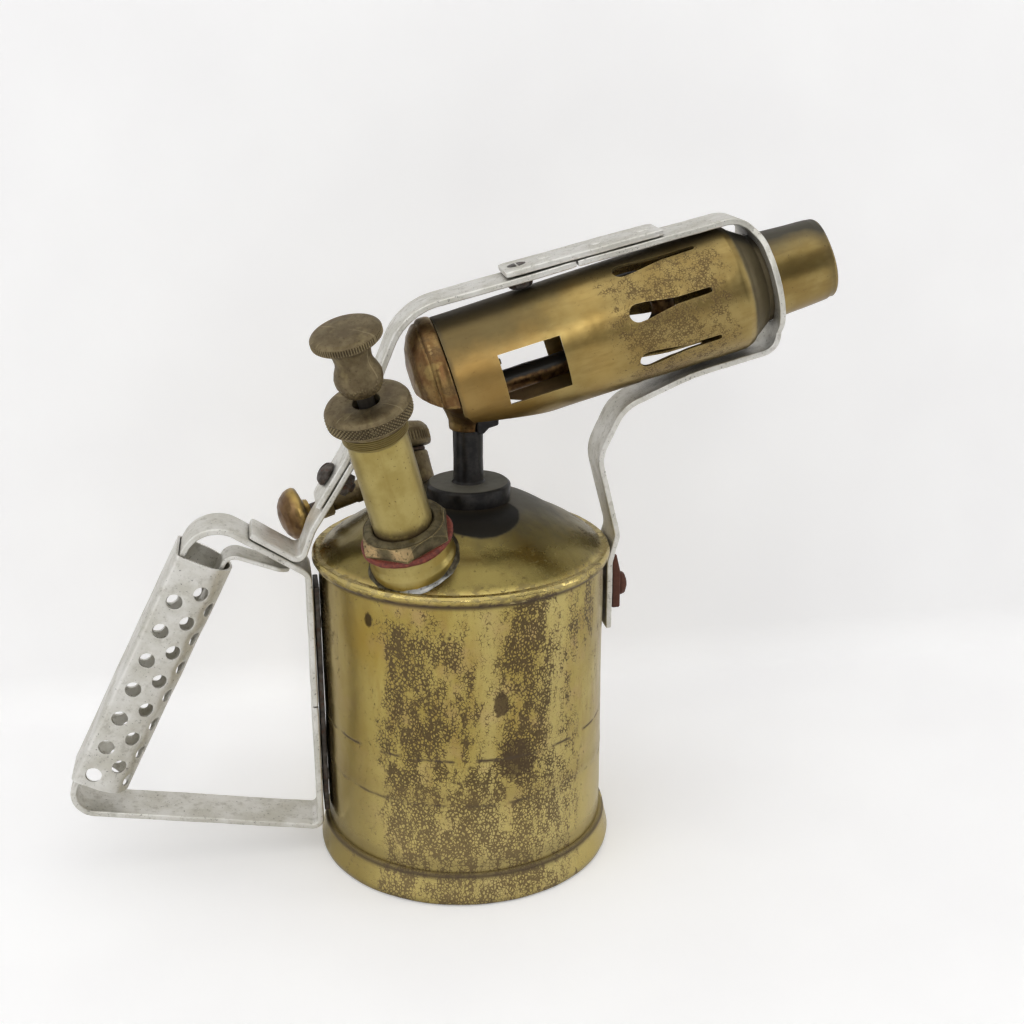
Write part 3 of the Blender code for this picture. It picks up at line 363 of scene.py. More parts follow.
def burner_brass():
    """Heat-tinted brass of the jacket and nozzle. Local z runs along the burner, x is up."""
    g = Graph("v_burner_brass")
    x, y, z = g.sep(g.mm)
    rad = g.math("SQRT", x * x + y * y)
    ang = g.math("ARCTAN2", y, x) * (180 / pi)          # 0 on top, -90 on the camera side
    warp = (g.noise(10, 3, 0.6, seed=1) - 0.5)
    zone = g.step(z + warp * 30, 40, 55) * g.step(z + warp * 14, 88, 80)
    side = g.step(g.math("ABSOLUTE", ang) + warp * 60, 22, 50)
    side2 = g.step(g.math("ABSOLUTE", ang) + warp * 40, 165, 140)
    patch = g.step(g.noise(6.5, 4, 0.6, seed=4), 0.34, 0.60)
    mask = g.clamp(zone * (side * 0.45 + 0.55) * (side2 * 0.6 + 0.4) * (patch * 0.50 + 0.50))
    far = g.step(g.noise(12, 3, 0.6, seed=14), 0.60, 0.75) * 0.6
    grain = g.noise(0.72, 3, 0.75, seed=2)
    coarse = g.noise(2.1, 3, 0.6, seed=61)
    net = g.lace(0.8, 4.0)
    spot = g.clamp((mask * 0.265 - 0.075 + far * 0.08 + (coarse - 0.5) * 0.55 + (grain - 0.5) * 0.42 - net) * 9.0)
    fleck = g.clamp((g.noise(0.8, 2, 0.5, seed=23) - 0.70) * 18.0)
    haze = g.noise(16, 4, 0.6, seed=7)
    clean = g.mix(g.step(haze, 0.35, 0.65), (0.32, 0.225, 0.076), (0.43, 0.325, 0.125))
    clean = g.mix(mask * 0.35, clean, (0.30, 0.215, 0.085))
    warmb = g.step(z + (g.noise(9, 3, seed=5) - 0.5) * 26, 33, 6)
    clean = g.mix(warmb * 0.55, clean, (0.33, 0.185, 0.055))
    front = g.bell(z + warp * 5, 40, 7) * 0.35
    clean = g.mix(front, clean, (0.47, 0.30, 0.085))
    streak = g.step(g.noise(3, 4, 0.6, stretch=(1, 1, 0.2), seed=9), 0.47, 0.68) * 0.35
    clean = g.mix(streak, clean, (0.24, 0.155, 0.055))
    olive = g.step(z + warp * 20, 44, 14) * g.step(g.math("ABSOLUTE", ang) + warp * 30, 78, 46)
    clean = g.mix(olive * 0.75, clean, (0.125, 0.100, 0.050))
    patina = g.mix(g.noise(0.7, 2, seed=37), (0.085, 0.050, 0.018), (0.17, 0.110, 0.042))
    cover = g.clamp(spot * 0.85 + fleck * 0.75)
    c = g.mix(cover, clean, patina)
    # soot along the top and on the nozzle, darker along the underside and at the very rear edge; the shoulder under the
    # guard is sooty and darkened further as painted shade
    top = g.step(g.math("ABSOLUTE", ang) + warp * 20, 38, 8)
    shoulder_soot_and_shade = g.step(z + warp * 4, 86.5, 90.5) * g.step(z, 99.0, 97.0) * g.step(rad, 19.2, 18.6)
    bott = g.step(g.math("ABSOLUTE", ang) + warp * 14, 148, 168) * 0.55
    rear = g.step(z + warp * 3, -1.6, -3.2) * 0.35
    inner = g.step(rad, 18.62, 18.3) * g.step(z, 88, 84)
    noz_top = g.step(z, 97, 100) * g.step(g.math("ABSOLUTE", ang) + warp * 26, 66, 30) * 0.85
    noz_end = g.step(z + warp * 5, 112.5, 119.5) * 0.45
    noz_band = g.bell(ang + warp * 30, -104, 13) * g.step(z, 100, 106) * 0.5
    c = g.mix(noz_band, c, (0.16, 0.085, 0.035))
    soot = g.clamp(top * 0.68 + shoulder_soot_and_shade * 0.80 + bott + rear + noz_top * 0.8 + noz_end)
    c = g.mix(soot, c, (0.072, 0.064, 0.045))
    c = g.mix(inner * 0.8, c, g.mix(g.noise(3, 4, 0.7, seed=8), (0.10, 0.06, 0.035), (0.34, 0.20, 0.11)))
    noz_in = g.step(rad, 12.45, 12.2) * g.step(z, 96, 98) * g.step(z, 117.6, 116.4)
    c = g.mix(noz_in * 0.9, c, (0.03, 0.026, 0.02))
    e = g.edge(0.35)
    c = g.mix(e * 0.65, c, (0.62, 0.47, 0.20))
    # painted shade: darker where the AO node finds nearby surfaces
    ao_shade = g.step(g.ao(4.0, 3), 0.75, 0.35)
    c = g.mix(ao_shade * 0.5, c, (0.05, 0.035, 0.02))
    rough = g.clamp(0.27 + g.step(z, 40, 10) * 0.07 + cover * 0.24 + soot * 0.22 + inner * 0.3 + haze * 0.06)
    metal = g.clamp(1.0 - cover * 0.45 - soot * 0.50 - inner * 0.35)
    h = grain * 0.3 + cover * 0.6 + g.noise(0.45, 2, seed=43) * 0.15
    n = g.bump(h, 0.09, 0.55)
    n = g.bump(g.noise(9, 2, 0.5, seed=47), 0.5, 0.45, n)
    return g.surface(c, rough, metal, n)


def pump_brass():
    g = Graph("v_pump_brass")
    x, y, z = g.sep(g.mm)
    haze = g.noise(9, 4, 0.6, seed=3)
    c = g.mix(g.step(haze, 0.35, 0.65), (0.40, 0.310, 0.100), (0.49, 0.395, 0.145))
    streak = g.step(g.noise(2.2, 4, 0.6, stretch=(1, 1, 0.12), seed=9), 0.50, 0.72) * 0.35
    c = g.mix(streak, c, (0.33, 0.235, 0.07))
    fleck = g.clamp((g.noise(0.75, 2, 0.5, stretch=(1, 1, 0.9), seed=23) - 0.68) * 16.0)
    rad = g.math("SQRT", x * x + y * y)
    # painted shadow round the barrel's foot and the nut top, broken up by noise
    foot = g.step(z, 17.2, 13.4) * g.step(z, 4, 9) * g.step(g.noise(3, 3, seed=12), 0.30, 0.55)
    ao_shade = g.step(g.ao(3.5, 3), 0.80, 0.35)
    e = g.edge(0.45)
    # dark specks, plus painted shade from AO and from the ring at the barrel's foot
    d = g.clamp(fleck * 0.8 + ao_shade * 0.6 + foot * 0.75)
    c = g.mix(d, c, (0.105, 0.07, 0.03))
    # the nut's flats are darker than its rubbed corners
    flat = g.step(rad, 9.02, 9.12) * g.step(z, 7.5, 7.9) * g.step(z, 14.0, 13.5)
    c = g.mix(flat * 0.90, c, g.mix(g.step(g.noise(2.6, 4, 0.6, seed=14), 0.4, 0.62), (0.075, 0.062, 0.034), (0.15, 0.125, 0.070)))
    # rubbed bright over the two front corners
    ang = g.math("ARCTAN2", y, x) * (180 / pi)
    worn = g.bell(ang, 141, 44) * g.step(rad, 12.05, 12.6) * g.step(z, 8.2, 9.0) * g.step(g.noise(1.1, 4, 0.7, seed=15), 0.36, 0.50)
    c = g.mix(g.clamp(worn + e * 0.45) * flat, c, (0.66, 0.47, 0.23))
    c = g.mix(e * 0.35, c, (0.60, 0.48, 0.22))
    thr = g.step(z, 44.0, 44.4) * g.step(z, 49, 48.3)
    c = g.mix(thr * 0.55, c, (0.20, 0.155, 0.065))
    rough = g.clamp(0.25 + haze * 0.12 + d * 0.3 + flat * 0.10)
    metal = g.clamp(1.0 - d * 0.4)
    n = g.bump(g.noise(0.45, 2, stretch=(1, 1, 0.2), seed=5), 0.03, 0.5)
    n = g.bump(g.noise(6, 2, seed=6), 0.25, 0.4, n)
    return g.surface(c, rough, metal, n)


def dark_bronze():
    g = Graph("v_dark_bronze")
    haze = g.noise(5, 5, 0.62, seed=3)
    c = g.mix(g.step(haze, 0.35, 0.66), (0.140, 0.105, 0.056), (0.235, 0.185, 0.102))
    fine = g.noise(1.0, 4, 0.65, seed=5)
    c = g.mix(g.step(fine, 0.52, 0.70) * 0.65, c, (0.085, 0.060, 0.036))
    rub = g.step(g.noise(4.2, 3, 0.6, seed=8), 0.54, 0.68) * 0.32
    c = g.mix(rub, c, (0.34, 0.27, 0.125))
    # painted shade: darker and less metallic where the AO node finds nearby surfaces
    ao_shade = g.step(g.ao(2.5, 3), 0.80, 0.30)
    c = g.mix(ao_shade * 0.75, c, (0.030, 0.022, 0.014))
    e = g.edge(0.3)
    cav = g.step(g.point(), 0.497, 0.455)
    c = g.mix(cav * 0.8, c, (0.045, 0.030, 0.016))
    pt = g.step(g.point(), 0.505, 0.56)
    c = g.mix(g.clamp(e * 0.30 + pt * 0.45), c, (0.38, 0.31, 0.175))
    rough = g.clamp(0.40 + fine * 0.16 + haze * 0.10)
    n = g.bump(fine * 0.6 + g.noise(0.35, 2, seed=9) * 0.5, 0.07, 0.55)
    return g.surface(c, rough, g.clamp(0.88 - ao_shade * 0.4), n)


def release_brown():
    """Thumb knob: dark copper tarnish with a rubbed golden side."""
    g = Graph("v_release_brown")
    x, y, z = g.sep(g.mm)
    haze = g.noise(7, 5, 0.62, seed=3)
    c = g.mix(g.step(haze, 0.36, 0.64), (0.155, 0.085, 0.040), (0.22, 0.135, 0.060))
    side = g.step(z + (g.noise(5, 3, seed=4) - 0.5) * 3.0, 41.2, 38.6)
    c = g.mix(side * 0.9, c, g.mix(g.noise(3, 3, seed=5), (0.40, 0.25, 0.07), (0.50, 0.36, 0.12)))
    dark = g.step(g.noise(3.0, 5, 0.66, seed=6), 0.50, 0.68)
    c = g.mix(dark * 0.45, c, (0.075, 0.048, 0.028))
    rim = g.bell(z, 37.4, 0.7) * 0.6
    c = g.mix(rim, c, (0.11, 0.095, 0.06))
    e = g.edge(0.5)
    c = g.mix(e * 0.4, c, (0.50, 0.36, 0.17))
    return g.surface(c, g.clamp(0.30 + dark * 0.15), 0.92, g.bump(g.noise(1.1, 3, 0.6, seed=7), 0.08, 0.5))


def copper_brown():
    g = Graph("v_copper_brown")
    x, y, z = g.sep(g.mm)
    haze = g.noise(7, 5, 0.62, seed=3)
    c = g.mix(g.step(haze, 0.36, 0.64), (0.175, 0.090, 0.036), (0.30, 0.195, 0.075))
    dark = g.step(g.noise(3.4, 5, 0.66, seed=6), 0.50, 0.66)
    c = g.mix(dark * 0.60, c, (0.085, 0.042, 0.020))
    fine = g.noise(0.9, 3, 0.6, seed=5)
    c = g.mix(g.step(fine, 0.58, 0.72) * 0.6, c, (0.06, 0.035, 0.018))
    gold = g.step(g.noise(5, 3, 0.6, stretch=(1, 1, 0.6), seed=12), 0.52, 0.64) * 0.55
    c = g.mix(gold, c, (0.42, 0.30, 0.105))
    e = g.edge(0.5)
    pt = g.step(g.point(), 0.515, 0.57)
    c = g.mix(g.clamp(e * 0.25 + pt * 0.35), c, (0.58, 0.41, 0.17))
    # painted shade: darker where the AO node finds nearby surfaces
    ao_shade = g.step(g.ao(3.5, 3), 0.75, 0.32)
    c = g.mix(ao_shade * 0.75, c, (0.035, 0.022, 0.014))
    rough = g.clamp(0.30 + dark * 0.18 + fine * 0.14)
    n = g.bump(fine * 0.5 + haze * 0.8, 0.12, 0.5)
    return g.surface(c, rough, g.clamp(0.95 - dark * 0.25), n)


def black_iron():
    g = Graph("v_black_iron")
    haze = g.noise(4, 5, 0.62, seed=3)
    c = g.mix(g.step(haze, 0.4, 0.65), (0.012, 0.011, 0.011), (0.030, 0.027, 0.024))
    geo = g.t.nodes.new("ShaderNodeNewGeometry")
    nx, ny, nz = g.sep(Sock(g, geo.outputs["Normal"]))
    dust = g.step(nz, 0.80, 0.97)
    c = g.mix(dust * 0.85, c, g.mix(g.noise(2.5, 4, seed=6), (0.115, 0.11, 0.085), (0.185, 0.175, 0.14)))
    e = g.edge(0.4)
    c = g.mix(e * 0.30, c, (0.12, 0.10, 0.075))
    rough = g.clamp(0.24 + haze * 0.20 + dust * 0.32)
    n = g.bump(g.noise(1.1, 4, 0.6, seed=7), 0.10, 0.55)
    n = g.bump(g.noise(5, 2, seed=8), 0.35, 0.5, n)
    return g.surface(c, rough, g.clamp(0.20 - dust * 0.15), n, spec=0.28)


def aluminium(name="v_aluminium", dirty=1.0):
    g = Graph(name)
    haze = g.noise(11, 5, 0.62, seed=3)
    c = g.mix(g.step(haze, 0.34, 0.66), (0.66, 0.64, 0.565), (0.84, 0.825, 0.775))
    mid = g.step(g.noise(3.2, 5, 0.68, seed=6), 0.50, 0.70)
    c = g.mix(mid * 0.42, c, (0.42, 0.395, 0.325))
    grain = g.noise(0.8, 3, 0.65, seed=5)
    speck = g.clamp((grain - 0.64 + g.step(haze, 0.6, 0.35) * 0.03) * 14.0) * dirty
    c = g.mix(speck * 0.75, c, (0.085, 0.072, 0.05))
    rust = g.step(g.noise(6, 5, 0.7, seed=15), 0.655, 0.74) * 0.55 * dirty
    c = g.mix(rust, c, (0.16, 0.10, 0.055))
    e = g.edge(0.55)
    pt = g.step(g.point(), 0.51, 0.56)
    wear = g.clamp(e * 0.75 + pt * 0.3) * g.step(g.noise(2.0, 3, 0.6, seed=18), 0.34, 0.5)
    c = g.mix(wear * 0.9, c, (0.97, 0.96, 0.93))
    # painted shade: darker and less metallic where the AO node finds nearby surfaces
    ao_shade = g.step(g.ao(3.5, 3), 0.78, 0.35)
    c = g.mix(ao_shade * 0.60, c, (0.10, 0.085, 0.06))
    rough = g.clamp(0.40 + mid * 0.14 + speck * 0.2 - wear * 0.10)
    n = g.bump(grain * 0.7 + g.noise(0.3, 2, seed=19) * 0.5 - speck * 0.5, 0.07, 0.6)
    n = g.bump(g.noise(5, 3, seed=21), 0.25, 0.5, n)
    return g.surface(c, rough, g.clamp(0.80 - speck * 0.5 - rust * 0.6 - ao_shade * 0.3), n)


def dark_steel(name="v_steel_dark", a=(0.055, 0.048, 0.042), b=(0.13, 0.115, 0.10), rusty=0.25, rust=(0.13, 0.055, 0.028)):
    g = Graph(name)
    haze = g.noise(3, 5, 0.65, seed=3)
    c = g.mix(g.step(haze, 0.35, 0.66), a, b)
    r = g.step(g.noise(2.2, 5, 0.68, seed=6), 0.62 - rusty * 0.45, 0.72 - rusty * 0.3)
    c = g.mix(r * 0.85, c, g.mix(g.noise(0.8, 3, seed=8), rust, tuple(v * 0.45 for v in rust)))
    e = g.edge(0.35)
    c = g.mix(e * 0.35, c, tuple(min(1, v * 3.2) for v in b))
    # painted shade: darker where the AO node finds nearby surfaces
    ao_shade = g.step(g.ao(2.5, 3), 0.75, 0.35)
    c = g.mix(ao_shade * 0.6, c, (0.02, 0.016, 0.012))
    n = g.bump(g.noise(0.7, 4, 0.65, seed=5), 0.10, 0.7)
    return g.surface(c, g.clamp(0.42 + r * 0.3), g.clamp(0.9 - r * 0.7), n)


def hot_tube():
    g = Graph("v_hot_tube")
    geo = g.t.nodes.new("ShaderNodeNewGeometry")
    nx, ny, nz_ = g.sep(Sock(g, geo.outputs["Normal"]))
    # upper side painted near black as painted shadow inside the jacket; lower side brown
    low = g.step(nz_ + (g.noise(3, 3, seed=4) - 0.5) * 0.5, 0.35, 0.05)
    c = g.mix(low, (0.030, 0.026, 0.022), g.mix(g.step(g.noise(2.6, 4, 0.6, seed=6), 0.42, 0.6), (0.14, 0.075, 0.035), (0.30, 0.18, 0.075)))
    return g.surface(c, 0.38, g.clamp(low * 0.8 + 0.1), g.bump(g.noise(1.1, 4, 0.6, seed=7), 0.08, 0.5), spec=0.3)


def soft(name, a, b, size, rough=0.8, bump=0.15, stretch=(1, 1, 1), metal=0.0):
    g = Graph(name)
    f = g.noise(size, 5, 0.65, stretch=stretch, seed=2)
    c = g.mix(g.step(f, 0.35, 0.68), a, b)
    c = g.mix(g.step(g.noise(size * 3.1, 3, seed=6), 0.55, 0.72) * 0.5, c, tuple(v * 0.5 for v in a))
    # painted shade: darker where the AO node finds nearby surfaces
    ao_shade = g.step(g.ao(1.5, 3), 0.75, 0.35)
    c = g.mix(ao_shade * 0.5, c, tuple(v * 0.3 for v in a))
    n = g.bump(f, bump, 0.7)
    return g.surface(c, g.clamp(rough + (f - 0.5) * 0.2), metal, n)


def spring_steel():
    g = Graph("v_spring_steel")
    f = g.noise(0.4, 2, stretch=(1, 1, 0.05), seed=2)
    haze = g.noise(6, 4, 0.6, seed=4)
    c = g.mix(g.step(haze, 0.4, 0.65), (0.40, 0.39, 0.37), (0.56, 0.55, 0.52))
    c = g.mix(g.clamp((g.noise(0.8, 3, seed=7) - 0.62) * 12) * 0.6, c, (0.16, 0.12, 0.08))
    x, y, z = g.sep(g.mm)
    grease = g.step(z, 50, 53)
    c = g.mix(grease * 0.95, c, (0.020, 0.015, 0.010))
    return g.surface(c, g.clamp(0.22 + haze * 0.15), g.clamp(1.0 - grease * 0.85), g.bump(f, 0.03, 0.5))


def solder():
    g = Graph("v_solder")
    x, y, z = g.sep(g.mm)
    f = g.noise(1.6, 4, 0.6, seed=2)
    # silver patches on the front side only: bright solder, painted as a highlight facing the camera
    front = g.step(y + (g.noise(4, 3, seed=9) - 0.5) * 5, -36.5, -40.0)
    c = g.mix(g.step(f, 0.40, 0.62), (0.055, 0.045, 0.028), (0.12, 0.105, 0.065))
    c = g.mix(front * g.step(f, 0.30, 0.55), c, (0.46, 0.46, 0.44))
    # painted shade: darker where the AO node finds nearby surfaces
    ao_shade = g.step(g.ao(2.0, 3), 0.7, 0.3)
    c = g.mix(ao_shade * 0.6, c, (0.03, 0.026, 0.018))
    return g.surface(c, 0.34, 0.9, g.bump(g.noise(0.9, 3, seed=7), 0.15, 0.5))


MATS["tank_brass"] = tank_brass()
MATS["burner_brass"] = burner_brass()
MATS["pump_brass"] = pump_brass()
MATS["dark_bronze"] = dark_bronze()
MATS["copper_brown"] = copper_brown()
MATS["release_brown"] = release_brown()
MATS["black_iron"] = black_iron()
MATS["aluminium"] = aluminium()
MATS["hot_tube"] = hot_tube()
MATS["steel_dark"] = dark_steel()
MATS["rusty_steel"] = dark_steel("v_rusty_steel", (0.06, 0.028, 0.018), (0.13, 0.055, 0.034), 0.85, (0.15, 0.048, 0.026))
MATS["spring_steel"] = spring_steel()
MATS["red_fibre"] = soft("v_red_fibre", (0.115, 0.020, 0.012), (0.25, 0.052, 0.028), 0.9, 0.62, 0.12)
MATS["leather"] = soft("v_leather", (0.05, 0.026, 0.014), (0.13, 0.07, 0.038), 0.9, 0.7, 0.12)
MATS["cork"] = soft("v_cork", (0.22, 0.12, 0.06), (0.48, 0.31, 0.18), 0.7, 0.9, 0.2)
MATS["cotton"] = soft("v_cotton", (0.42, 0.38, 0.29), (0.74, 0.69, 0.58), 0.45, 0.95, 0.25, stretch=(1, 1, 0.3))
MATS["solder"] = solder()


# ============================================================ mesh builders
def shade(me, sharp=38.0):
    me.shade_smooth()
    me.set_sharp_from_angle(angle=radians(sharp))


def make(name, verts, faces, M=WORLD, sharp=38.0, merge=True):
    """Mesh object from mm vertices in the local frame M."""
    me = bpy.data.meshes.new(name)
    me.from_pydata([tuple(v) for v in (np.asarray(verts, float) * MM)], [], faces)
    bm = bmesh.new()
    bm.from_mesh(me)
    if merge:
        bmesh.ops.remove_doubles(bm, verts=bm.verts[:], dist=1.5e-6)
        bmesh.ops.dissolve_degenerate(bm, edges=bm.edges[:], dist=1e-6)
    bmesh.ops.recalc_face_normals(bm, faces=bm.faces[:])
    if bm.calc_volume(signed=True) < 0:
        bmesh.ops.reverse_faces(bm, faces=bm.faces[:])
    bm.to_mesh(me)
    bm.free()
    shade(me, sharp)
    ob = bpy.data.objects.new(name, me)
    bpy.context.scene.collection.objects.link(ob)
    ob.matrix_world = M
    return ob


def rounded(pts, seg=3):
    """Closed outline with filleted corners.  pts: (a, b) or (a, b, radius)."""
    out = []
    n = len(pts)
    for i in range(n):
        p = Vector(pts[i][:2])
        r = pts[i][2] if len(pts[i]) > 2 else 0.0
        if r <= 0:
            out.append(p)
            continue
        a = Vector(pts[i - 1][:2]) - p
        b = Vector(pts[(i + 1) % n][:2]) - p
        la, lb = a.length, b.length
        a.normalize()
        b.normalize()
        ang = acos(max(-1, min(1, a.dot(b))))
        if ang > pi - 0.02:
            out.append(p)
            continue
        d = min(r / tan(ang / 2), la * 0.48, lb * 0.48)
        rr = d * tan(ang / 2)
        c = p + (a + b).normalized() * (rr / sin(ang / 2))
        s, e = p + a * d - c, p + b * d - c
        sweep = pi - ang
        k = max(2, int(seg * sweep / (pi / 2) + 1.5))
        sg = 1 if s.x * e.y - s.y * e.x > 0 else -1
        for j in range(k + 1):
            t = sg * sweep * j / k
            out.append(c + Vector((s.x * cos(t) - s.y * sin(t), s.x * sin(t) + s.y * cos(t))))
    return out


def resample(pts, step, closed=True, only=None):
    out = []
    n = len(pts)
    for i in range(n if closed else n - 1):
        a, b = pts[i], pts[(i + 1) % n]
        out.append(a)
        L = (b - a).length
        st = step
        if only is not None and not only(a, b):
            st = 1e9
        k = int(L / st)
        for j in range(1, k + 1):
            if j / (k + 1) < 0.9999:
                out.append(a.lerp(b, j / (k + 1)))
    if not closed:
        out.append(pts[-1])
    return out


def lathe(name, prof, M=WORLD, seg=128, step=None, only=None, disp=None, round_seg=3, sharp=38.0):
    """Solid of revolution about local z from a closed outline, with an optional displacement along the normal."""
    pts = rounded(prof, round_seg)
    if step:
        keep_axis = lambda a, b: not (a.x < 1e-6 and b.x < 1e-6) and (only is None or only(a, b))
        pts = resample(pts, step, only=keep_axis)
    P = np.array([[p.x, p.y] for p in pts])
    n = len(P)
    nx = np.roll(P, -1, 0) - np.roll(P, 1, 0)
    nr = np.stack([nx[:, 1], -nx[:, 0]], 1)
    nr /= np.maximum(1e-9, np.linalg.norm(nr, axis=1))[:, None]
    area = np.sum(P[:, 0] * np.roll(P[:, 1], -1) - np.roll(P[:, 0], -1) * P[:, 1])
    if area < 0:
        nr = -nr
    ph = np.arange(seg) * 2 * pi / seg
    R = np.repeat(P[:, :1], seg, 1)
    Z = np.repeat(P[:, 1:], seg, 1)
    if disp is not None:
        D = np.zeros((n, seg))
        for i in range(n):
            if P[i, 0] > 1e-6:
                D[i] = disp(ph, P[i, 0], P[i, 1])
        R = R + D * nr[:, :1]
        Z = Z + D * nr[:, 1:]
    V = np.stack([R * np.cos(ph), R * np.sin(ph), Z], 2).reshape(-1, 3)
    faces = []
    for i in range(n):
        j = (i + 1) % n
        if P[i, 0] < 1e-6 and P[j, 0] < 1e-6:
            continue
        a, b = i * seg, j * seg
        for k in range(seg):
            k2 = (k + 1) % seg
            faces.append((a + k, a + k2, b + k2, b + k))
    return make(name, V, faces, M, sharp)


def nz(x, y, z, s, seed=0.0):
    return noise.noise(Vector((x / s + seed, y / s - seed * 1.7, z / s + seed * 0.6)))


def wob(amp, size, seed=0.0):
    """Displacement: gentle unevenness of a hand-made or worn surface."""
    def f(ph, r, z):
        return np.array([amp * nz(r * cos(a), r * sin(a), z, size, seed) for a in ph])
    return f


def prism(name, outline, z0, z1, M=WORLD, sharp=30.0, rows=1):
    n = len(outline)
    V, F = [], []
    for i in range(rows + 1):
        z = z0 + (z1 - z0) * i / rows
        V += [(x, y, z) for x, y in outline]
    for i in range(rows):
        for k in range(n):
            j = (k + 1) % n
            F.append((i * n + k, i * n + j, (i + 1) * n + j, (i + 1) * n + k))
    F.append(tuple(range(n))[::-1])
    F.append(tuple(rows * n + k for k in range(n)))
    return make(name, V, F, M, sharp)


def hexagon(af, turn0=0.0, n=6):
    r = af / 2.0 / cos(pi / n)
    return [(r * cos(2 * pi * k / n + turn0), r * sin(2 * pi * k / n + turn0)) for k in range(n)]


def circle(r, n=48, cx=0.0, cy=0.0):
    return [(cx + r * cos(2 * pi * k / n), cy + r * sin(2 * pi * k / n)) for k in range(n)]


def rod(r, z0, z1, M, seg=48):
    return prism("tool", circle(r, seg), z0, z1, M)


def evaluated(ob):
    bpy.context.view_layer.update()
    dg = bpy.context.evaluated_depsgraph_get()
    me = bpy.data.meshes.new_from_object(ob.evaluated_get(dg))
    ob.modifiers.clear()
    ob.data = me
    return ob


def cut(ob, tools, op="DIFFERENCE", sharp=38.0):
    """One exact Boolean with every tool at once."""
    if not isinstance(tools, (list, tuple)):
        tools = [tools]
    bpy.context.view_layer.update()
    bm = bmesh.new()
    for t in tools:
        me = t.data
        me.transform(t.matrix_world)
        bm.from_mesh(me)
    me = bpy.data.meshes.new("tools")
    bm.to_mesh(me)
    bm.free()
    for t in tools:
        bpy.data.objects.remove(t, do_unlink=True)
    tool = bpy.data.objects.new("tools", me)
    bpy.context.scene.collection.objects.link(tool)
    mod = ob.modifiers.new("b", "BOOLEAN")
    mod.operation = op
    mod.solver = "EXACT"
    mod.use_self = False
    mod.object = tool
    evaluated(ob)
    bpy.data.objects.remove(tool, do_unlink=True)
    bm = bmesh.new()
    bm.from_mesh(ob.data)
    bmesh.ops.remove_doubles(bm, verts=bm.verts[:], dist=2e-6)
    bmesh.ops.dissolve_degenerate(bm, edges=bm.edges[:], dist=2e-6)
    bm.to_mesh(ob.data)
    bm.free()
    ob.data.materials.clear()
    shade(ob.data, sharp)
    return ob


def soften(ob, width=0.25, seg=2, angle=34, weighted=True):
    """Rounds every sharp edge by width mm."""
    b = ob.modifiers.new("bevel", "BEVEL")
    b.limit_method = "ANGLE"
    b.angle_limit = radians(angle)
    b.width = width * MM
    b.segments = seg
    b.use_clamp_overlap = True
    b.miter_outer = "MITER_ARC"
    evaluated(ob)
    shade(ob.data, 55)
    if weighted:
        w = ob.modifiers.new("wn", "WEIGHTED_NORMAL")
        w.keep_sharp = True
        w.weight = 60
    return ob


def done(ob, mat, body="lamp", reps=()):
    ob.data.materials.clear()
    ob.data.materials.append(MATS[mat])
    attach(ob, body)
    if reps:
        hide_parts(*([reps] if isinstance(reps, str) else reps))
    return ob


def jitter(ob, amp, size, seed=0.0):
    """Moves the vertices by smooth noise: small unevenness of bent and handled metal."""
    M = ob.matrix_world
    for v in ob.data.vertices:
        p = v.co * 1000
        d = Vector((nz(p.x, p.y, p.z, size, seed), nz(p.x, p.y, p.z, size, seed + 31), nz(p.x, p.y, p.z, size, seed + 57)))
        v.co += d * amp * MM
    return ob


def bend(points, step=radians(5)):
    out = [Vector((points[0][0], points[0][1]))]
    for i in range(1, len(points) - 1):
        p = Vector(points[i][:2])
        a = (Vector(points[i - 1][:2]) - p).normalized()
        b = (Vector(points[i + 1][:2]) - p).normalized()
        ang = acos(max(-1, min(1, a.dot(b))))
        r = points[i][2]
        d = r / tan(ang / 2)
        c = p + (a + b).normalized() * (r / sin(ang / 2))
        s, e = p + a * d - c, p + b * d - c
        sweep = pi - ang
        n = max(2, int(round(sweep / step)))
        sgn = 1 if s.x * e.y - s.y * e.x > 0 else -1
        for k in range(n + 1):
            t = sgn * sweep * k / n
            out.append(c + Vector((s.x * cos(t) - s.y * sin(t), s.x * sin(t) + s.y * cos(t))))
    out.append(Vector((points[-1][0], points[-1][1])))
    return out


def bar_section(half, thick, rc=0.45, bow=0.0):
    """Rounded section of a flat bar: (y, offset) points."""
    h, t = half, thick / 2
    pts = []
    for cy, ct, a0 in ((h - rc, t - rc, 0), (-(h - rc), t - rc, pi / 2), (-(h - rc), -(t - rc), pi), (h - rc, -(t - rc), 1.5 * pi)):
        for k in range(4):
            a = a0 + pi / 2 * k / 3
            pts.append((cy + rc * cos(a), ct + rc * sin(a)))
    # extra points across the two faces
    out = []
    n = len(pts)
    for i in range(n):
        a, b = pts[i], pts[(i + 1) % n]
        out.append(a)
        if abs(a[0] - b[0]) > half * 0.8:
            m = 6
            for k in range(1, m):
                out.append((a[0] + (b[0] - a[0]) * k / m, a[1] + (b[1] - a[1]) * k / m))
    return out


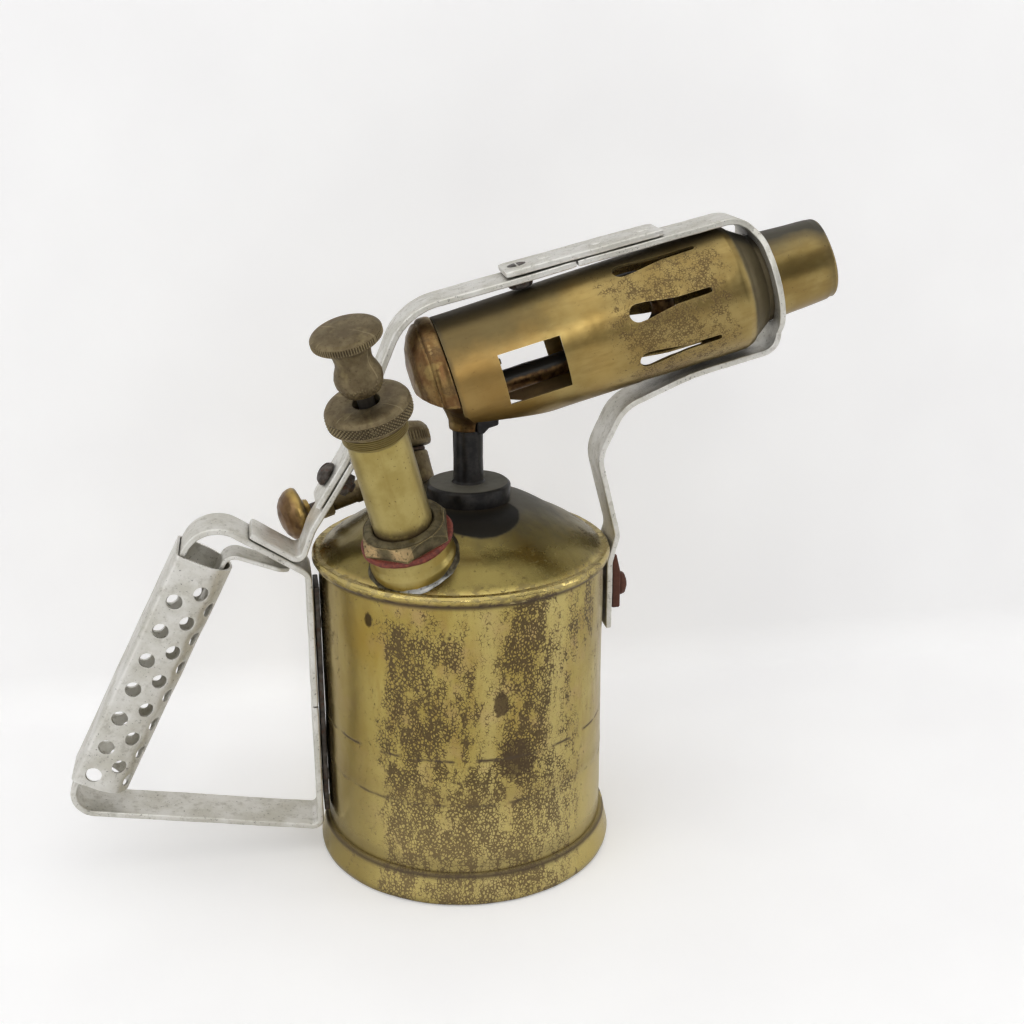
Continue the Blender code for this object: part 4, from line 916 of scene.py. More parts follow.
def strap(name, line, thick, half, width_of=None, round_end=False, step=1.6, rc=0.45):
    """Flat bar with rounded edges, bent in the XZ plane along a centre line (mm)."""
    line = resample(line, step, closed=False)
    tip = None
    if round_end:
        b, a = line[-1], line[-2]
        d = (b - a).normalized()
        base = b - d * half
        line = [p for p in line if (p - base).dot(d) < -0.1] + [base]
        for k in range(1, 13):
            line.append(base + d * (half * sin(k / 12 * pi / 2)))
        tip = base
    n = len(line)
    V, F = [], []
    for i, p in enumerate(line):
        if i == 0:
            d = (line[1] - p).normalized()
            off = Vector((-d.y, d.x))
        elif i == n - 1:
            d = (p - line[i - 1]).normalized()
            off = Vector((-d.y, d.x))
        else:
            d0 = (p - line[i - 1]).normalized()
            d1 = (line[i + 1] - p).normalized()
            m = Vector((-d0.y, d0.x)) + Vector((-d1.y, d1.x))
            m.normalize()
            off = m / max(0.6, m.dot(Vector((-d0.y, d0.x))))
        h = width_of(p) if width_of else half
        if tip is not None and (p - tip).dot(line[-1] - tip) > 1e-6:
            u = (p - tip).length
            h = sqrt(max(0.2, half * half - u * u))
        t = thick
        r = rc
        # round the two ends over slightly
        if not round_end and (i == 0 or i == n - 1):
            t, h, r = thick - 0.35, h - 0.2, rc * 0.7
        for y, o in bar_section(h, t, min(r, h * 0.9, t * 0.49)):
            q = p + off * o
            V.append((q.x, y, q.y))
    m = len(V) // n
    for i in range(n - 1):
        for k in range(m):
            j = (k + 1) % m
            F.append((i * m + k, i * m + j, (i + 1) * m + j, (i + 1) * m + k))
    F.append(tuple(range(m))[::-1])
    F.append(tuple((n - 1) * m + k for k in range(m)))
    return make(name, V, F, sharp=40, merge=False)


def tube_along(name, pts, r, seg=28, caps=True):
    pts = [Vector(p) for p in pts]
    V, F = [], []
    u = None
    for i, p in enumerate(pts):
        if i == 0:
            d = (pts[1] - p).normalized()
        elif i == len(pts) - 1:
            d = (p - pts[i - 1]).normalized()
        else:
            d = ((pts[i + 1] - p).normalized() + (p - pts[i - 1]).normalized()).normalized()
        if u is None:
            u = Vector((0, 1, 0)) if abs(d.y) < 0.9 else Vector((1, 0, 0))
        u = (u - d * u.dot(d)).normalized()
        v = d.cross(u)
        rr = r(i / (len(pts) - 1)) if callable(r) else r
        V += [p + u * (rr * cos(2 * pi * k / seg)) + v * (rr * sin(2 * pi * k / seg)) for k in range(seg)]
    n = len(pts)
    for i in range(n - 1):
        for k in range(seg):
            j = (k + 1) % seg
            F.append((i * seg + k, i * seg + j, (i + 1) * seg + j, (i + 1) * seg + k))
    F.append(tuple(range(seg))[::-1])
    F.append(tuple((n - 1) * seg + k for k in range(seg)))
    return make(name, V, F, sharp=50)


def fillet_ring(name, M, R, w, seed, wall_out=0.0, seg=120):
    """Uneven band of solder where a round boss of radius R meets the dome."""
    D = (M.to_3x3() @ Vector((0, 0, 1)))
    O = M.translation * 1000

    def on_dome(px, py):
        return dome(hypot(px, py))
    V, F = [], []
    m = 7
    for k in range(seg):
        a = 2 * pi * k / seg
        e1 = M.to_3x3() @ Vector((cos(a), sin(a), 0))
        ww = w * (0.85 + 0.55 * nz(cos(a) * R, sin(a) * R, seed, 4.0, seed))
        s = 0.0
        for _ in range(12):
            q = O + e1 * R + D * s
            s -= (q.z - on_dome(q.x, q.y)) / D.z * 0.8
        base = O + e1 * R + D * s
        out = O + e1 * (R + ww) + D * s
        dz = on_dome(out.x, out.y) - out.z
        out = out + Vector((0, 0, dz))
        up = base + D * ww * 0.9
        inn = -e1
        ring = [up + inn * 0.5, up + e1 * 0.06]
        for t in (0.3, 0.6, 0.85):
            q = up.lerp(out, t)
            toward = (base - q)
            ring.append(q + toward * 0.34 * sin(pi * t))
        ring.append(out + Vector((0, 0, 0.05)))
        ring.append(out + Vector((0, 0, -0.7)) + inn * 0.8)
        V += ring
    n = len(V) // seg
    V += []
    for k in range(seg):
        j = (k + 1) % seg
        for i in range(n):
            i2 = (i + 1) % n
            F.append((k * n + i, j * n + i, j * n + i2, k * n + i2))
    return make(name, V, F, sharp=70)


# ===================================================================== tank
def tank_wave(ph, r, z):
    if r < 44.9:
        return np.zeros_like(ph)
    out = []
    for a in ph:
        x, y = 45 * cos(a), 45 * sin(a)
        d = 0.16 * nz(x, y, z, 19, 1.0) + 0.05 * nz(x, y, z, 6, 2.0)
        # creases left where the tank was knocked
        zz = z + 0.8 * nz(x, y, 0, 16, 5.0)
        k1 = 0.55 + 0.45 * nz(x, y, 0, 12, 6.0)
        d -= 0.26 * k1 * exp(-((zz - 48.2) / 0.55) ** 2)
        d -= 0.20 * k1 * exp(-((zz - 33.0) / 0.6) ** 2)
        d += 0.10 * exp(-((zz - 35.2) / 1.6) ** 2)
        # small deep dent under the pump, shallow one beside the front
        az = degrees(a)
        for (da, dz, ra, rz, dep) in ((223.4, 90.8, 2.4, 3.2, 0.34), (223.0, 88.0, 9.0, 8.0, 0.28),
                                      (277.0, 66.5, 3.0, 4.5, 0.16), (340.0, 60.0, 9.0, 12.0, 0.30),
                                      (120.0, 40.0, 8.0, 10.0, 0.30), (60.0, 74.0, 5.0, 6.0, 0.25)):
            u = ((az - da + 180) % 360 - 180) * 0.785
            d -= dep * exp(-(u / ra) ** 2 - ((z - dz) / rz) ** 2)
        out.append(d)
    return np.array(out)


tb = lathe("v_tank_wall", [(45, 99.4), (45, 5.2), (44.1, 5.2), (44.1, 99.4)], seg=300, step=1.0,
           only=lambda a, b: a.x > 44.9 and b.x > 44.9, disp=tank_wave)
done(tb, "tank_brass", reps="tank_body")

base = lathe("v_tank_foot", [(45.6, 10.0, 0.3), (46.35, 9.5, 0.4), (46.5, 8.6, 0.5), (46.9, 6.6, 2.0), (48.0, 2.0, 1.2), (47.6, 0.0, 0.8),
                             (42.6, 0.0, 0.4), (41.6, 1.3, 0.4), (38.6, 1.3, 0.4), (37.6, 0.0, 0.4), (0, 0.0), (0, 1.2),
                             (36.9, 1.2), (38.0, 2.5), (41.9, 2.5), (43.6, 3.3), (44.0, 4.6), (44.0, 9.8)],
             seg=240, step=1.1, only=lambda a, b: a.x > 45.5 and b.x > 45.5, disp=lambda ph, r, z: wob(0.14, 9, 4.0)(ph, r, z) if r > 45.4 else 0 * ph)
done(base, "tank_brass", reps="tank_base")

dome_prof = [(0, dome(0))] + [(r, dome(r)) for r in [2 * k for k in range(1, 22)]] + [(43.4, dome(43.4)), (44.4, dome(44.4))]
top_prof = dome_prof + [(45.3, 101.75, 0.5), (46.3, 101.75, 0.5), (47.0, 100.9, 0.5), (47.0, 99.6, 0.5), (46.4, 98.6, 0.4), (45.1, 98.3, 0.2), (45.1, 99.9)]
top_prof += [(r, dome(r) - 1.0) for r in [43.4] + [2 * k for k in range(21, 0, -1)]] + [(0, dome(0) - 1.0)]


def dome_wave(ph, r, z):
    if r < 2 or z < 98.35:
        return 0 * ph
    k = 0.20 if r < 45 else 0.13
    f = wob(k, 13 if r < 45 else 7, 8.0)(ph, r, z)
    if r > 44.8:
        f = f + wob(0.07, 2.2, 9.0)(ph, r, z)
    return f


td = lathe("v_tank_top", top_prof, seg=240, step=1.6, only=lambda a, b: a.x > 44.4 or a.y > 100.4 and False, disp=dome_wave)
cut(td, [rod(8.6, 95, 125, BOSS_M), rod(12.6, -16, 12, PUMP_M), rod(8.4, -14, 12, FILL_M)])
done(td, "tank_brass", reps="tank_top")

# ===================================================================== pump
pb = lathe("v_pump_boss", [(9.25, 6.05, 0.2), (11.8, 6.05, 0.5), (12.2, 5.2, 0.5), (12.35, 2.2, 0.6), (12.9, 0.4, 0.6), (13.0, -3.4), (13.0, -12), (9.25, -12)],
           PUMP_M, seg=128, disp=lambda ph, r, z: wob(0.08, 5, 2.0)(ph, r, z) if r > 9.5 else 0 * ph, step=1.2)
done(pb, "pump_brass", reps="pump_boss")
done(fillet_ring("v_solder_pump", PUMP_M, 12.9, 1.15, 3.0), "solder")

pwa = lathe("v_pump_washer", [(9.3, 8.0, 0.2), (13.4, 8.0, 0.5), (13.9, 7.2, 0.4), (13.5, 6.2, 0.5), (9.3, 6.2, 0.2)], PUMP_M, seg=160, step=0.9,
            disp=lambda ph, r, z: (wob(0.26, 5, 3.0)(ph, r, z) + wob(0.10, 1.6, 5.0)(ph, r, z)) if r > 12.9 else 0 * ph)
done(pwa, "red_fibre", reps="pump_washer")

nut = prism("v_pump_nut", hexagon(24.2, radians(-9.0)), 8.0, 12.3, PUMP_M)
cut(nut, [rod(9.15, 0, 20, PUMP_M, 96),
          lathe("tool", [(11.7, 12.55), (12.3, 12.2), (14.4, 8.7), (18.5, 8.2), (18.5, 13.4), (11.7, 13.4)], PUMP_M, seg=160)])
soften(nut, 0.28, 3, 28)
jitter(nut, 0.10, 2.4, 5)
done(nut, "pump_brass", reps="pump_nut")
# raised collar round the top of the nut, where the barrel leaves it
col = lathe("v_nut_collar", [(9.2, 11.5), (9.2, 12.9, 0.3), (9.9, 13.0, 0.4), (11.3, 12.6, 0.5), (11.9, 12.1, 0.3), (12.0, 11.7)], PUMP_M, seg=120,
            disp=lambda ph, r, z: wob(0.08, 3, 4.0)(ph, r, z) if r > 9.5 else 0 * ph, step=1.0)
done(col, "pump_brass")

bar_prof = [(8.75, 43.6, 0.2), (8.75, -52.5), (7.95, -52.5), (7.95, 52.2), (9.55, 52.2), (9.55, 48.1)]
z = 48.1
for k in range(6):
    bar_prof += [(9.55, z), (9.2, z - 0.16), (9.2, z - 0.26), (9.55, z - 0.42), (9.55, z - 0.60)]
    z -= 0.60
bar_prof += [(9.45, 44.2, 0.15)]
brl = lathe("v_pump_barrel", bar_prof, PUMP_M, seg=160, step=2.0,
            only=lambda a, b: abs(a.x - 8.75) < 0.01 and abs(b.x - 8.75) < 0.01 and max(a.y, b.y) > 0,
            disp=lambda ph, r, z: wob(0.05, 8, 2.0)(ph, r, z) if 8.6 < r < 8.9 and z > 0 else 0 * ph)
done(brl, "pump_brass", reps="pump_barrel")


def diamonds(r0, z0, z1, pitch, amp, ncirc):
    """Diamond knurl between two heights of a band of radius r0."""
    def f(ph, r, z):
        if r < r0 - 0.25 or z < z0 or z > z1:
            return 0 * ph
        u = ph * ncirc / (2 * pi)
        v = z / pitch
        t1 = np.abs(((u + v) % 1.0) - 0.5) * 2
        t2 = np.abs(((u - v) % 1.0) - 0.5) * 2
        e = min(1.0, (z - z0) / 0.25, (z1 - z) / 0.25)
        return amp * e * (np.minimum(t1, t2) - 0.55)
    return f


dk = diamonds(12.1, 49.95, 53.35, 1.15, 0.62, 62)
cap = lathe("v_pump_cap", [(3.9, 54.75, 0.35), (7.0, 55.1, 3), (10.2, 54.95, 2.0), (11.6, 54.5, 0.5), (12.2, 53.6, 0.3), (12.2, 53.35),
                           (12.2, 49.95), (12.1, 49.7, 0.2), (11.4, 49.45, 0.3), (10.95, 49.1, 0.3), (10.8, 48.3, 0.25), (9.75, 48.2), (9.75, 52.6), (3.9, 52.6)],
            PUMP_M, seg=620, step=0.14, only=lambda a, b: a.x > 12.0 and b.x > 12.0 and 49.9 < a.y < 53.4, disp=dk)
done(cap, "dark_bronze", body="pump_cap_ring", reps="pump_cap")


def knob_wave(ph, r, z):
    out = 0 * ph
    if r > 9.2 and 74.3 < z < 76.5:                      # straight knurl on the disc's rim
        t = np.abs(((ph * 84 / (2 * pi)) % 1.0) - 0.5) * 2
        out = 0.34 * (t - 0.6) * min(1.0, (z - 74.3) / 0.35, (76.5 - z) / 0.35)
    if r > 3.5 and 58.4 < z < 63.6:                      # coarse worn knurl on the swelling
        e = min(1.0, (z - 58.4) / 0.6, (63.6 - z) / 2.6)
        u = ph * 30 / (2 * pi)
        v = z / 1.35
        t1 = np.abs(((u + v) % 1.0) - 0.5) * 2
        t2 = np.abs(((u - v) % 1.0) - 0.5) * 2
        rag = np.array([0.1 + 1.1 * nz(7 * cos(a), 7 * sin(a), z, 2.0, 1.0) for a in ph])
        out = out + e * 0.50 * (np.minimum(t1, t2) - 0.5) * np.clip(rag, 0.05, 1.0)
        out = out + np.array([0.16 * nz(7 * cos(a), 7 * sin(a), z, 0.9, 4.0) for a in ph]) * e
    return out


knob = lathe("v_pump_knob", [(0, 77.75), (5.0, 77.65, 4), (8.6, 77.2, 0.8), (9.65, 76.6, 0.4), (9.8, 76.1, 0.25), (9.8, 74.7, 0.3), (9.3, 74.1, 0.4),
                             (7.2, 73.4, 1.2), (6.0, 72.0, 2.0), (5.4, 70.0, 2.0), (5.2, 68.2, 1.5), (5.4, 67.0, 1.0), (6.2, 65.2, 1.0), (6.75, 63.4, 1.0),
                             (6.7, 61.6, 1.2), (6.1, 59.9, 1.0), (5.3, 58.5, 0.5), (4.3, 58.0, 0.5), (2.7, 58.0), (2.7, 66.7), (0, 66.7)],
             PUMP_M, seg=420, step=0.22, only=lambda a, b: (58 < a.y < 66 and a.x > 4) or (a.x > 9.4 and a.y > 74), disp=knob_wave, sharp=50)
done(knob, "dark_bronze", body="pump_handle", reps="pump_knob")
prd = lathe("v_pump_rod", [(0, 66.2), (2.4, 66.2), (2.4, -35.6, 0.2), (1.9, -35.8), (1.9, -46.6, 0.3), (0, -46.6)], PUMP_M, seg=48)
done(prd, "spring_steel", body="pump_handle", reps="pump_rod")

# ==================================================== filler and release needle
fn = lathe("v_filler_neck", [(4.9, 12.8, 0.2), (7.3, 12.8, 0.3), (7.6, 12.2, 0.3), (7.85, 2.6, 0.8), (8.3, 0.4, 1.0), (8.8, -2.4), (8.8, -10), (4.9, -10)],
           FILL_M, seg=96, disp=lambda ph, r, z: wob(0.06, 5, 2.0)(ph, r, z) if r > 7 else 0 * ph, step=1.5)
done(fn, "dark_bronze", reps="filler_neck")
done(fillet_ring("v_solder_filler", FILL_M, 8.8, 1.6, 8.0), "solder")
fwa = lathe("v_filler_washer", [(4.9, 14.05, 0.2), (7.1, 14.05, 0.3), (7.1, 13.0, 0.3), (4.9, 13.0, 0.2)], FILL_M, seg=64)
done(fwa, "leather", reps="filler_washer")


def fp_wave(ph, r, z):
    if r > 9.2 and 15.9 < z < 19.6:
        t = np.abs(((ph * 56 / (2 * pi)) % 1.0) - 0.5) * 2
        return 0.30 * (t - 0.6) * min(1.0, (z - 15.9) / 0.5, (19.6 - z) / 0.5)
    return 0 * ph


fp = lathe("v_filler_plug", [(0, 23.4), (4.6, 23.25, 3), (8.0, 22.4, 2.0), (9.5, 20.4, 1.2), (9.7, 18.8), (9.7, 15.6, 0.4), (9.2, 14.6, 0.4),
                             (6.6, 14.3, 0.2), (4.6, 14.3), (4.6, 4.0), (4.0, 3.2), (0, 3.2)], FILL_M, seg=280, step=0.5,
           only=lambda a, b: a.x > 9.4, disp=fp_wave)
done(fp, "dark_bronze", body="filler_cap", reps="filler_plug")

rh = lathe("v_release_housing", [(2.2, 7.0), (3.9, 7.0), (3.9, 9.6, 0.4), (3.6, 10.0), (3.6, 19.0, 0.3), (3.25, 19.6, 0.3), (3.25, 27.4, 0.3), (2.2, 27.4)], REL_M, seg=64)
done(rh, "dark_bronze", reps="release_housing")
rg = prism("v_release_gland", hexagon(8.2), 27.7, 31.6, REL_M)
cut(rg, [rod(2.25, 20, 40, REL_M, 40), lathe("tool", [(3.7, 31.9), (5.2, 30.8), (6, 32.2), (3.7, 32.2)], REL_M, seg=60)])
soften(rg, 0.2, 2)
done(rg, "dark_bronze", reps="release_gland")
rs = lathe("v_release_spindle", [(0, 42.6), (1.4, 42.6, 0.3), (1.9, 42.2, 0.3), (1.9, 8.0), (1.2, 7.4), (0, 5.4)], REL_M, seg=40)
done(rs, "steel_dark", body="release_needle", reps="release_spindle")


rk = lathe("v_release_knob", [(0, 45.1), (2.6, 44.9, 2), (5.0, 44.1, 2), (7.0, 42.7, 2), (8.35, 40.9, 1), (8.9, 39.4, 0.6), (8.95, 38.2, 0.4), (8.4, 37.3, 0.4),
                              (6.5, 36.8, 0.5), (4.1, 36.3, 0.5), (3.6, 34.8, 0.2), (2.2, 34.8), (2.2, 42.9), (0, 42.9)], REL_M, seg=160, step=0.9,
           disp=lambda ph, r, z: wob(0.14, 5, 3.0)(ph, r, z) if r > 4.5 else 0 * ph)
done(rk, "release_brown", body="release_needle", reps="release_knob")

# ============================================================== burner boss
bb = lathe("v_burner_boss", [(4.8, 122.1, 0.2), (12.2, 122.15, 0.6), (13.1, 121.4, 0.7), (13.15, 119.5, 2.0), (13.0, 114.0), (12.95, 106.0),
                             (6.6, 104.5), (3.8, 104.5), (3.8, 114.0), (4.8, 114.0)],
           BOSS_M, seg=120, step=1.2, disp=lambda ph, r, z: wob(0.16, 6, 2.0)(ph, r, z) if r > 11.5 else 0 * ph)
bt = lathe("tool", [(6.6, 60), (60, 60), (60, 98)] + [(r, dome(r) + 0.1) for r in (44.4, 41, 38, 36, 33, 30, 27, 24, 21, 17, 12, 6.6)], seg=96)
cut(bb, bt)
done(bb, "black_iron", reps="burner_boss")

ri = lathe("v_riser", [(2.3, 144.6), (4.75, 144.6), (4.7, 138, 3), (4.6, 130, 3), (4.7, 124.0, 1), (4.75, 122.8, 0.3), (5.3, 122.1), (4.75, 121.9), (4.75, 114.3), (2.3, 114.3)],
           BOSS_M, seg=64, step=2.0, disp=lambda ph, r, z: wob(0.10, 6, 2.0)(ph, r, z) if r > 4 else 0 * ph)
done(ri, "black_iron", reps="riser_tube")
wedge = [(4.6, 138.8), (6.6, 138.7), (8.2, 140.4), (11.2, 141.3), (11.3, 144.6), (4.6, 144.6)]


def xz_block(name, outline, y0, y1):
    n = len(outline)
    V = [(x, y0, z) for x, z in outline] + [(x, y1, z) for x, z in outline]
    F = [tuple(range(n)), tuple(range(n, 2 * n))[::-1]]
    F += [(i, (i + 1) % n, n + (i + 1) % n, n + i) for i in range(n)]
    return make(name, V, F, sharp=30)


wd = soften(xz_block("v_burner_bracket", wedge, -6.4, 6.4), 0.45, 3)
done(wd, "black_iron")

# =================================================================== burner
ring = lathe("v_burner_casting", [(0, -8.3), (19.1, -8.3, 0.5), (19.95, -7.3, 0.7), (19.95, -4.9, 0.9), (19.55, -3.5, 0.5), (18.3, -3.2, 0.2), (17.9, -3.0),
                                  (17.9, 1.5), (0, 1.5)], BURN_M, seg=120)
cut(ring, xz_block("tool", [(-30, 120), (40, 120), (40, 145.0), (4.2, 145.0), (-1.0, 150.3), (-30, 150.3)], -30, 30))
secs = []
for zz, cx, rx, ry in ((139.1, BOSS_X, 5.75, 5.75), (140.4, BOSS_X - 0.1, 5.8, 6.1), (142.0, BOSS_X - 0.2, 5.8, 6.9), (144.5, BOSS_X - 0.9, 6.0, 9.2),
                       (147.0, BOSS_X - 2.2, 6.2, 12.2), (150.0, BOSS_X - 3.6, 6.2, 14.2), (153.0, BOSS_X - 4.4, 5.8, 15.0)):
    secs.append([(cx + rx * cos(2 * pi * k / 48), ry * sin(2 * pi * k / 48), zz) for k in range(48)])
V = [p for s in secs for p in s]
F = []
for i in range(len(secs) - 1):
    F += [(i * 48 + k, i * 48 + (k + 1) % 48, (i + 1) * 48 + (k + 1) % 48, (i + 1) * 48 + k) for k in range(48)]
F += [tuple(range(48))[::-1], tuple((len(secs) - 1) * 48 + k for k in range(48))]
neck = make("tool", V, F, merge=False)
cut(neck, lathe("tool2", [(0, -8.1), (40, -8.1), (40, -60), (0, -60)], BURN_M, seg=24))
# brazed to one casting: union, voxel remesh and smoothing give its rounded corners
cut(ring, neck, "UNION")
cut(ring, xz_block("tool", [(4.2, 136), (40, 136), (40, 144.9), (4.2, 144.9)], -6.8, 6.8))
cut(ring, lathe("tool", [(0, -3.0), (4.1, -3.0), (4.1, 30), (0, 30)], axis_matrix(BURN_O + BURN_N * -6.5, BURN_A, x_hint=BURN_N), seg=32))
rm = ring.modifiers.new("remesh", "REMESH")
rm.mode = "VOXEL"
rm.voxel_size = 0.34 * MM
sm = ring.modifiers.new("smooth", "SMOOTH")
sm.factor = 0.5
sm.iterations = 3
evaluated(ring)
shade(ring.data, 180)
jitter(ring, 0.12, 4, 6)
done(ring, "copper_brown", reps="burner_casting")

rcap = lathe("v_rear_cap", [(0, -14.6), (4, -14.6), (8, -14.4), (12.5, -13.5), (16.0, -11.8), (18.2, -9.9), (18.95, -8.9, 0.4), (18.8, -8.2), (0, -8.2)], BURN_M, seg=140, step=1.2,
             disp=lambda ph, r, z: wob(0.22, 8, 2.0)(ph, r, z) if r > 1.2 and z < -8.5 else 0 * ph)
cut(rcap, xz_block("tool", [(-30, 120), (40, 120), (40, 150.9), (-8.0, 150.9), (-13.5, 152.2), (-30, 155.0)], -30, 30))
soften(rcap, 1.3, 4, 40)
done(rcap, "copper_brown", reps="rear_cap")

jr0, jr1 = 19.1, 19.6


def jacket_wave(ph, r, z):
    k = 0.13 if -3.5 < z < 88 else 0.05
    return wob(k, 14, 3.0)(ph, r, z) * (1 if r > 18.45 else -1)


jprof = [(jr0 + 0.15, -3.15, 0.15), (jr0 + 0.35, 60), (jr1, 85.0, 3), (jr1 - 0.02, 87.3, 1.4), (18.7, 89.6, 1.2), (17.5, 90.8, 1.0), (14.3, 95.6, 0.4),
         (13.7, 95.3, 0.2), (16.9, 90.3, 1.0), (18.0, 89.0, 1.0), (jr1 - 0.9, 86.4, 1.5), (jr0 - 0.45, 60), (jr0 - 0.8, -3.15, 0.15)]
jk = lathe("v_burner_jacket", jprof, BURN_M, seg=216, step=1.7, disp=jacket_wave, sharp=60)
tools = [xz_block("tool", [(-30, 120), (40, 120), (40, 145.0), (2.2, 145.0), (0.0, 147.2), (-30, 149.5)], -30, 30),
         prism("tool", [(6.8, -30), (-9.1, -30), (-9.1, 30), (6.8, 30)], 11.2, 30.4, BURN_M)]
cut(jk, tools, sharp=60)
tears = []
for k in range(8):
    phi = radians(-26.5 - 45.5 * k if k < 3 else -26.5 - 45.5 * 2 - 44.8 * (k - 2))
    tear = []
    for j in range(13):
        a = pi / 2 + pi * j / 12
        tear.append((54.6 + 2.75 * cos(a), 2.75 * sin(a)))
    tear += [(57.4, -2.55), (60.5, -2.05), (63.5, -1.50), (67.0, -1.0)]
    for j in range(7):
        a = -pi / 2 + pi * j / 6
        tear.append((77.0 + 0.85 * cos(a), 0.85 * sin(a)))
    tear += [(67.0, 1.0), (63.5, 1.50), (60.5, 2.05), (57.4, 2.55)]
    rad = BURN_N * cos(phi) + Vector((0, 1, 0)) * sin(phi)
    m = Matrix((BURN_A, rad.cross(BURN_A), rad)).transposed().to_4x4()
    m.translation = BURN_O * MM
    tears.append(prism("tool", tear, 12, 24, m))
cut(jk, tears, sharp=60)
for p in jk.data.polygons:
    p.use_smooth = True
jk.data.set_sharp_from_angle(angle=radians(50))
done(jk, "burner_brass", reps="burner_jacket")

nzl = lathe("v_burner_nozzle", [(13.65, 92.0), (13.6, 99.5, 4), (13.2, 106, 6), (12.6, 116.0, 2), (12.35, 118.0, 0.5), (11.9, 118.75, 0.3), (11.4, 118.3, 0.3),
                                (11.5, 116.0), (12.45, 99.5), (12.5, 92.0)], BURN_M, seg=160, step=1.3,
            disp=lambda ph, r, z: (wob(0.30, 13, 4.0)(ph, r, z) * (1 if (r > 12.5 or z > 118) else -1)) * min(1.0, max(0.0, (z - 97) / 12)))
done(nzl, "burner_brass", reps="burner_nozzle")


def burner_pt(s, t, y=0.0):
    return BURN_O + BURN_A * s + BURN_N * t + Vector((0, y, 0))


vap = [burner_pt(-2.0, -6.5)] + [burner_pt(4 * k, -6.5) for k in range(1, 15)]
for k in range(1, 16):
    a = -pi / 2 + pi * k / 16
    vap.append(burner_pt(58.0 + 8.6 * cos(a), 2.1 + 8.6 * sin(a)))
vap += [burner_pt(58.0 - 4.84 * k, 10.7) for k in range(0, 11)]
vb = tube_along("v_vaporiser", vap, 3.6, 36)
jitter(vb, 0.16, 6, 9)
done(vb, "hot_tube", reps="vaporiser")
jb = soften(prism("v_jet_block", [(-2.3, -4.2), (15.0, -4.2), (15.0, 4.2), (-2.3, 4.2)], 1.9, 9.2, BURN_M), 0.7, 3)
done(jb, "black_iron", reps="jet_block")
jn = prism("v_jet_nipple", hexagon(5.0), 9.5, 11.0, BURN_M)
cut(jn, lathe("tool", [(0, 10.6), (1.4, 10.6), (0.9, 13.5, 0.2), (0, 13.5)], BURN_M, seg=32), "UNION")
cut(jn, rod(0.35, 5, 20, BURN_M, 16))
soften(jn, 0.12, 2)
done(jn, "pump_brass", reps="jet_nipple")

# =================================================================== handle
GRIP_TOP = Vector((-80.2, 0, 103.0))
GRIP_D = Vector((0.457, 0, 0.889)).normalized()
GRIP_L = Vector((-GRIP_D.z, 0, GRIP_D.x))
GRIP_LEN = 81.5
t0 = GRIP_TOP + GRIP_L * 6.2
zt = lambda x: 109.1 - 0.655 * (x + 66.7)
zb = lambda x: 0.39 - 0.175 * x
VX = -48.3


def meet(p, d, slope_z):
    u = 0.0
    for _ in range(40):
        q = p + d * u
        u -= (q.z - slope_z(q.x)) / d.z * 0.7
    return p + d * u


c_top = meet(t0, GRIP_D, zt)
c_low = meet(t0, GRIP_D, zb)
loop = bend([(VX, 52.3, 0), (VX, zt(VX), 4.0), (c_top.x, c_top.z, 10.5), (c_low.x, c_low.z, 7.0), (VX, zb(VX), 2.6), (VX, 51.7, 0)])
hs = strap("v_handle_strap", loop, STRAP_T, STRAP_W)
jitter(hs, 0.18, 14, 2)
jitter(hs, 0.04, 2.0, 7)
holes = [lathe("tool", [(0, 40), (2.25, 40), (2.25, 47.4), (3.95, 49.6), (3.95, 55), (0, 55)], axis_matrix((0, 0, zz), (-1, 0, 0), x_hint=(0, 0, 1)), seg=40)
         for zz in (78.0, 24.0)]
cut(hs, holes)
done(hs, "aluminium", reps="handle_strap")

# perforated sleeve: flat against the strap, round on the hand's side
OUT = 8.35


def grip_section(off, n_arc=40):
    pts = []
    R = 9.3 - off
    for k in range(n_arc + 1):
        a = -pi / 2 + pi * k / n_arc
        pts.append((0.5 + R * cos(a), R * sin(a)))
    rc = 1.8 - off
    hl = -(OUT - off)
    for k in range(1, 5):
        pts.append((0.5 + (hl + rc - 0.5) * k / 5, R))
    for (cx, cy, a0) in ((hl + rc, R - rc, pi / 2), (hl + rc, -(R - rc), pi)):
        for k in range(0, 5):
            a = a0 + (pi / 2) * k / 4
            pts.append((cx + rc * cos(a), cy + rc * sin(a)))
    for k in range(1, 5):
        pts.append((hl + rc + (0.5 - hl - rc) * k / 5, -R))
    return pts


GRIP_M = Matrix((-GRIP_L, Vector((0, 1, 0)), GRIP_D)).transposed().to_4x4()
GRIP_M.translation = GRIP_TOP * MM
outer, inner = grip_section(0.0), grip_section(0.8)
ns = len(outer)
V, F = [], []
zs = [-GRIP_LEN + GRIP_LEN * i / 54 for i in range(55)]
for zz in zs:
    V += [(x, y, zz) for x, y in outer]
for zz in zs:
    V += [(x, y, zz) for x, y in inner]
nr = len(zs)
for i in range(nr - 1):
    for k in range(ns):
        j = (k + 1) % ns
        F.append((i * ns + k, i * ns + j, (i + 1) * ns + j, (i + 1) * ns + k))
        o = nr * ns
        F.append((o + i * ns + k, o + (i + 1) * ns + k, o + (i + 1) * ns + j, o + i * ns + j))
for k in range(ns):
    j = (k + 1) % ns
    o = nr * ns
    F.append((k, o + k, o + j, j))
    e = (nr - 1) * ns
    F.append((e + k, e + j, o + e + j, o + e + k))
gs = make("v_grip_sleeve", V, F, GRIP_M, merge=False)
tools = []
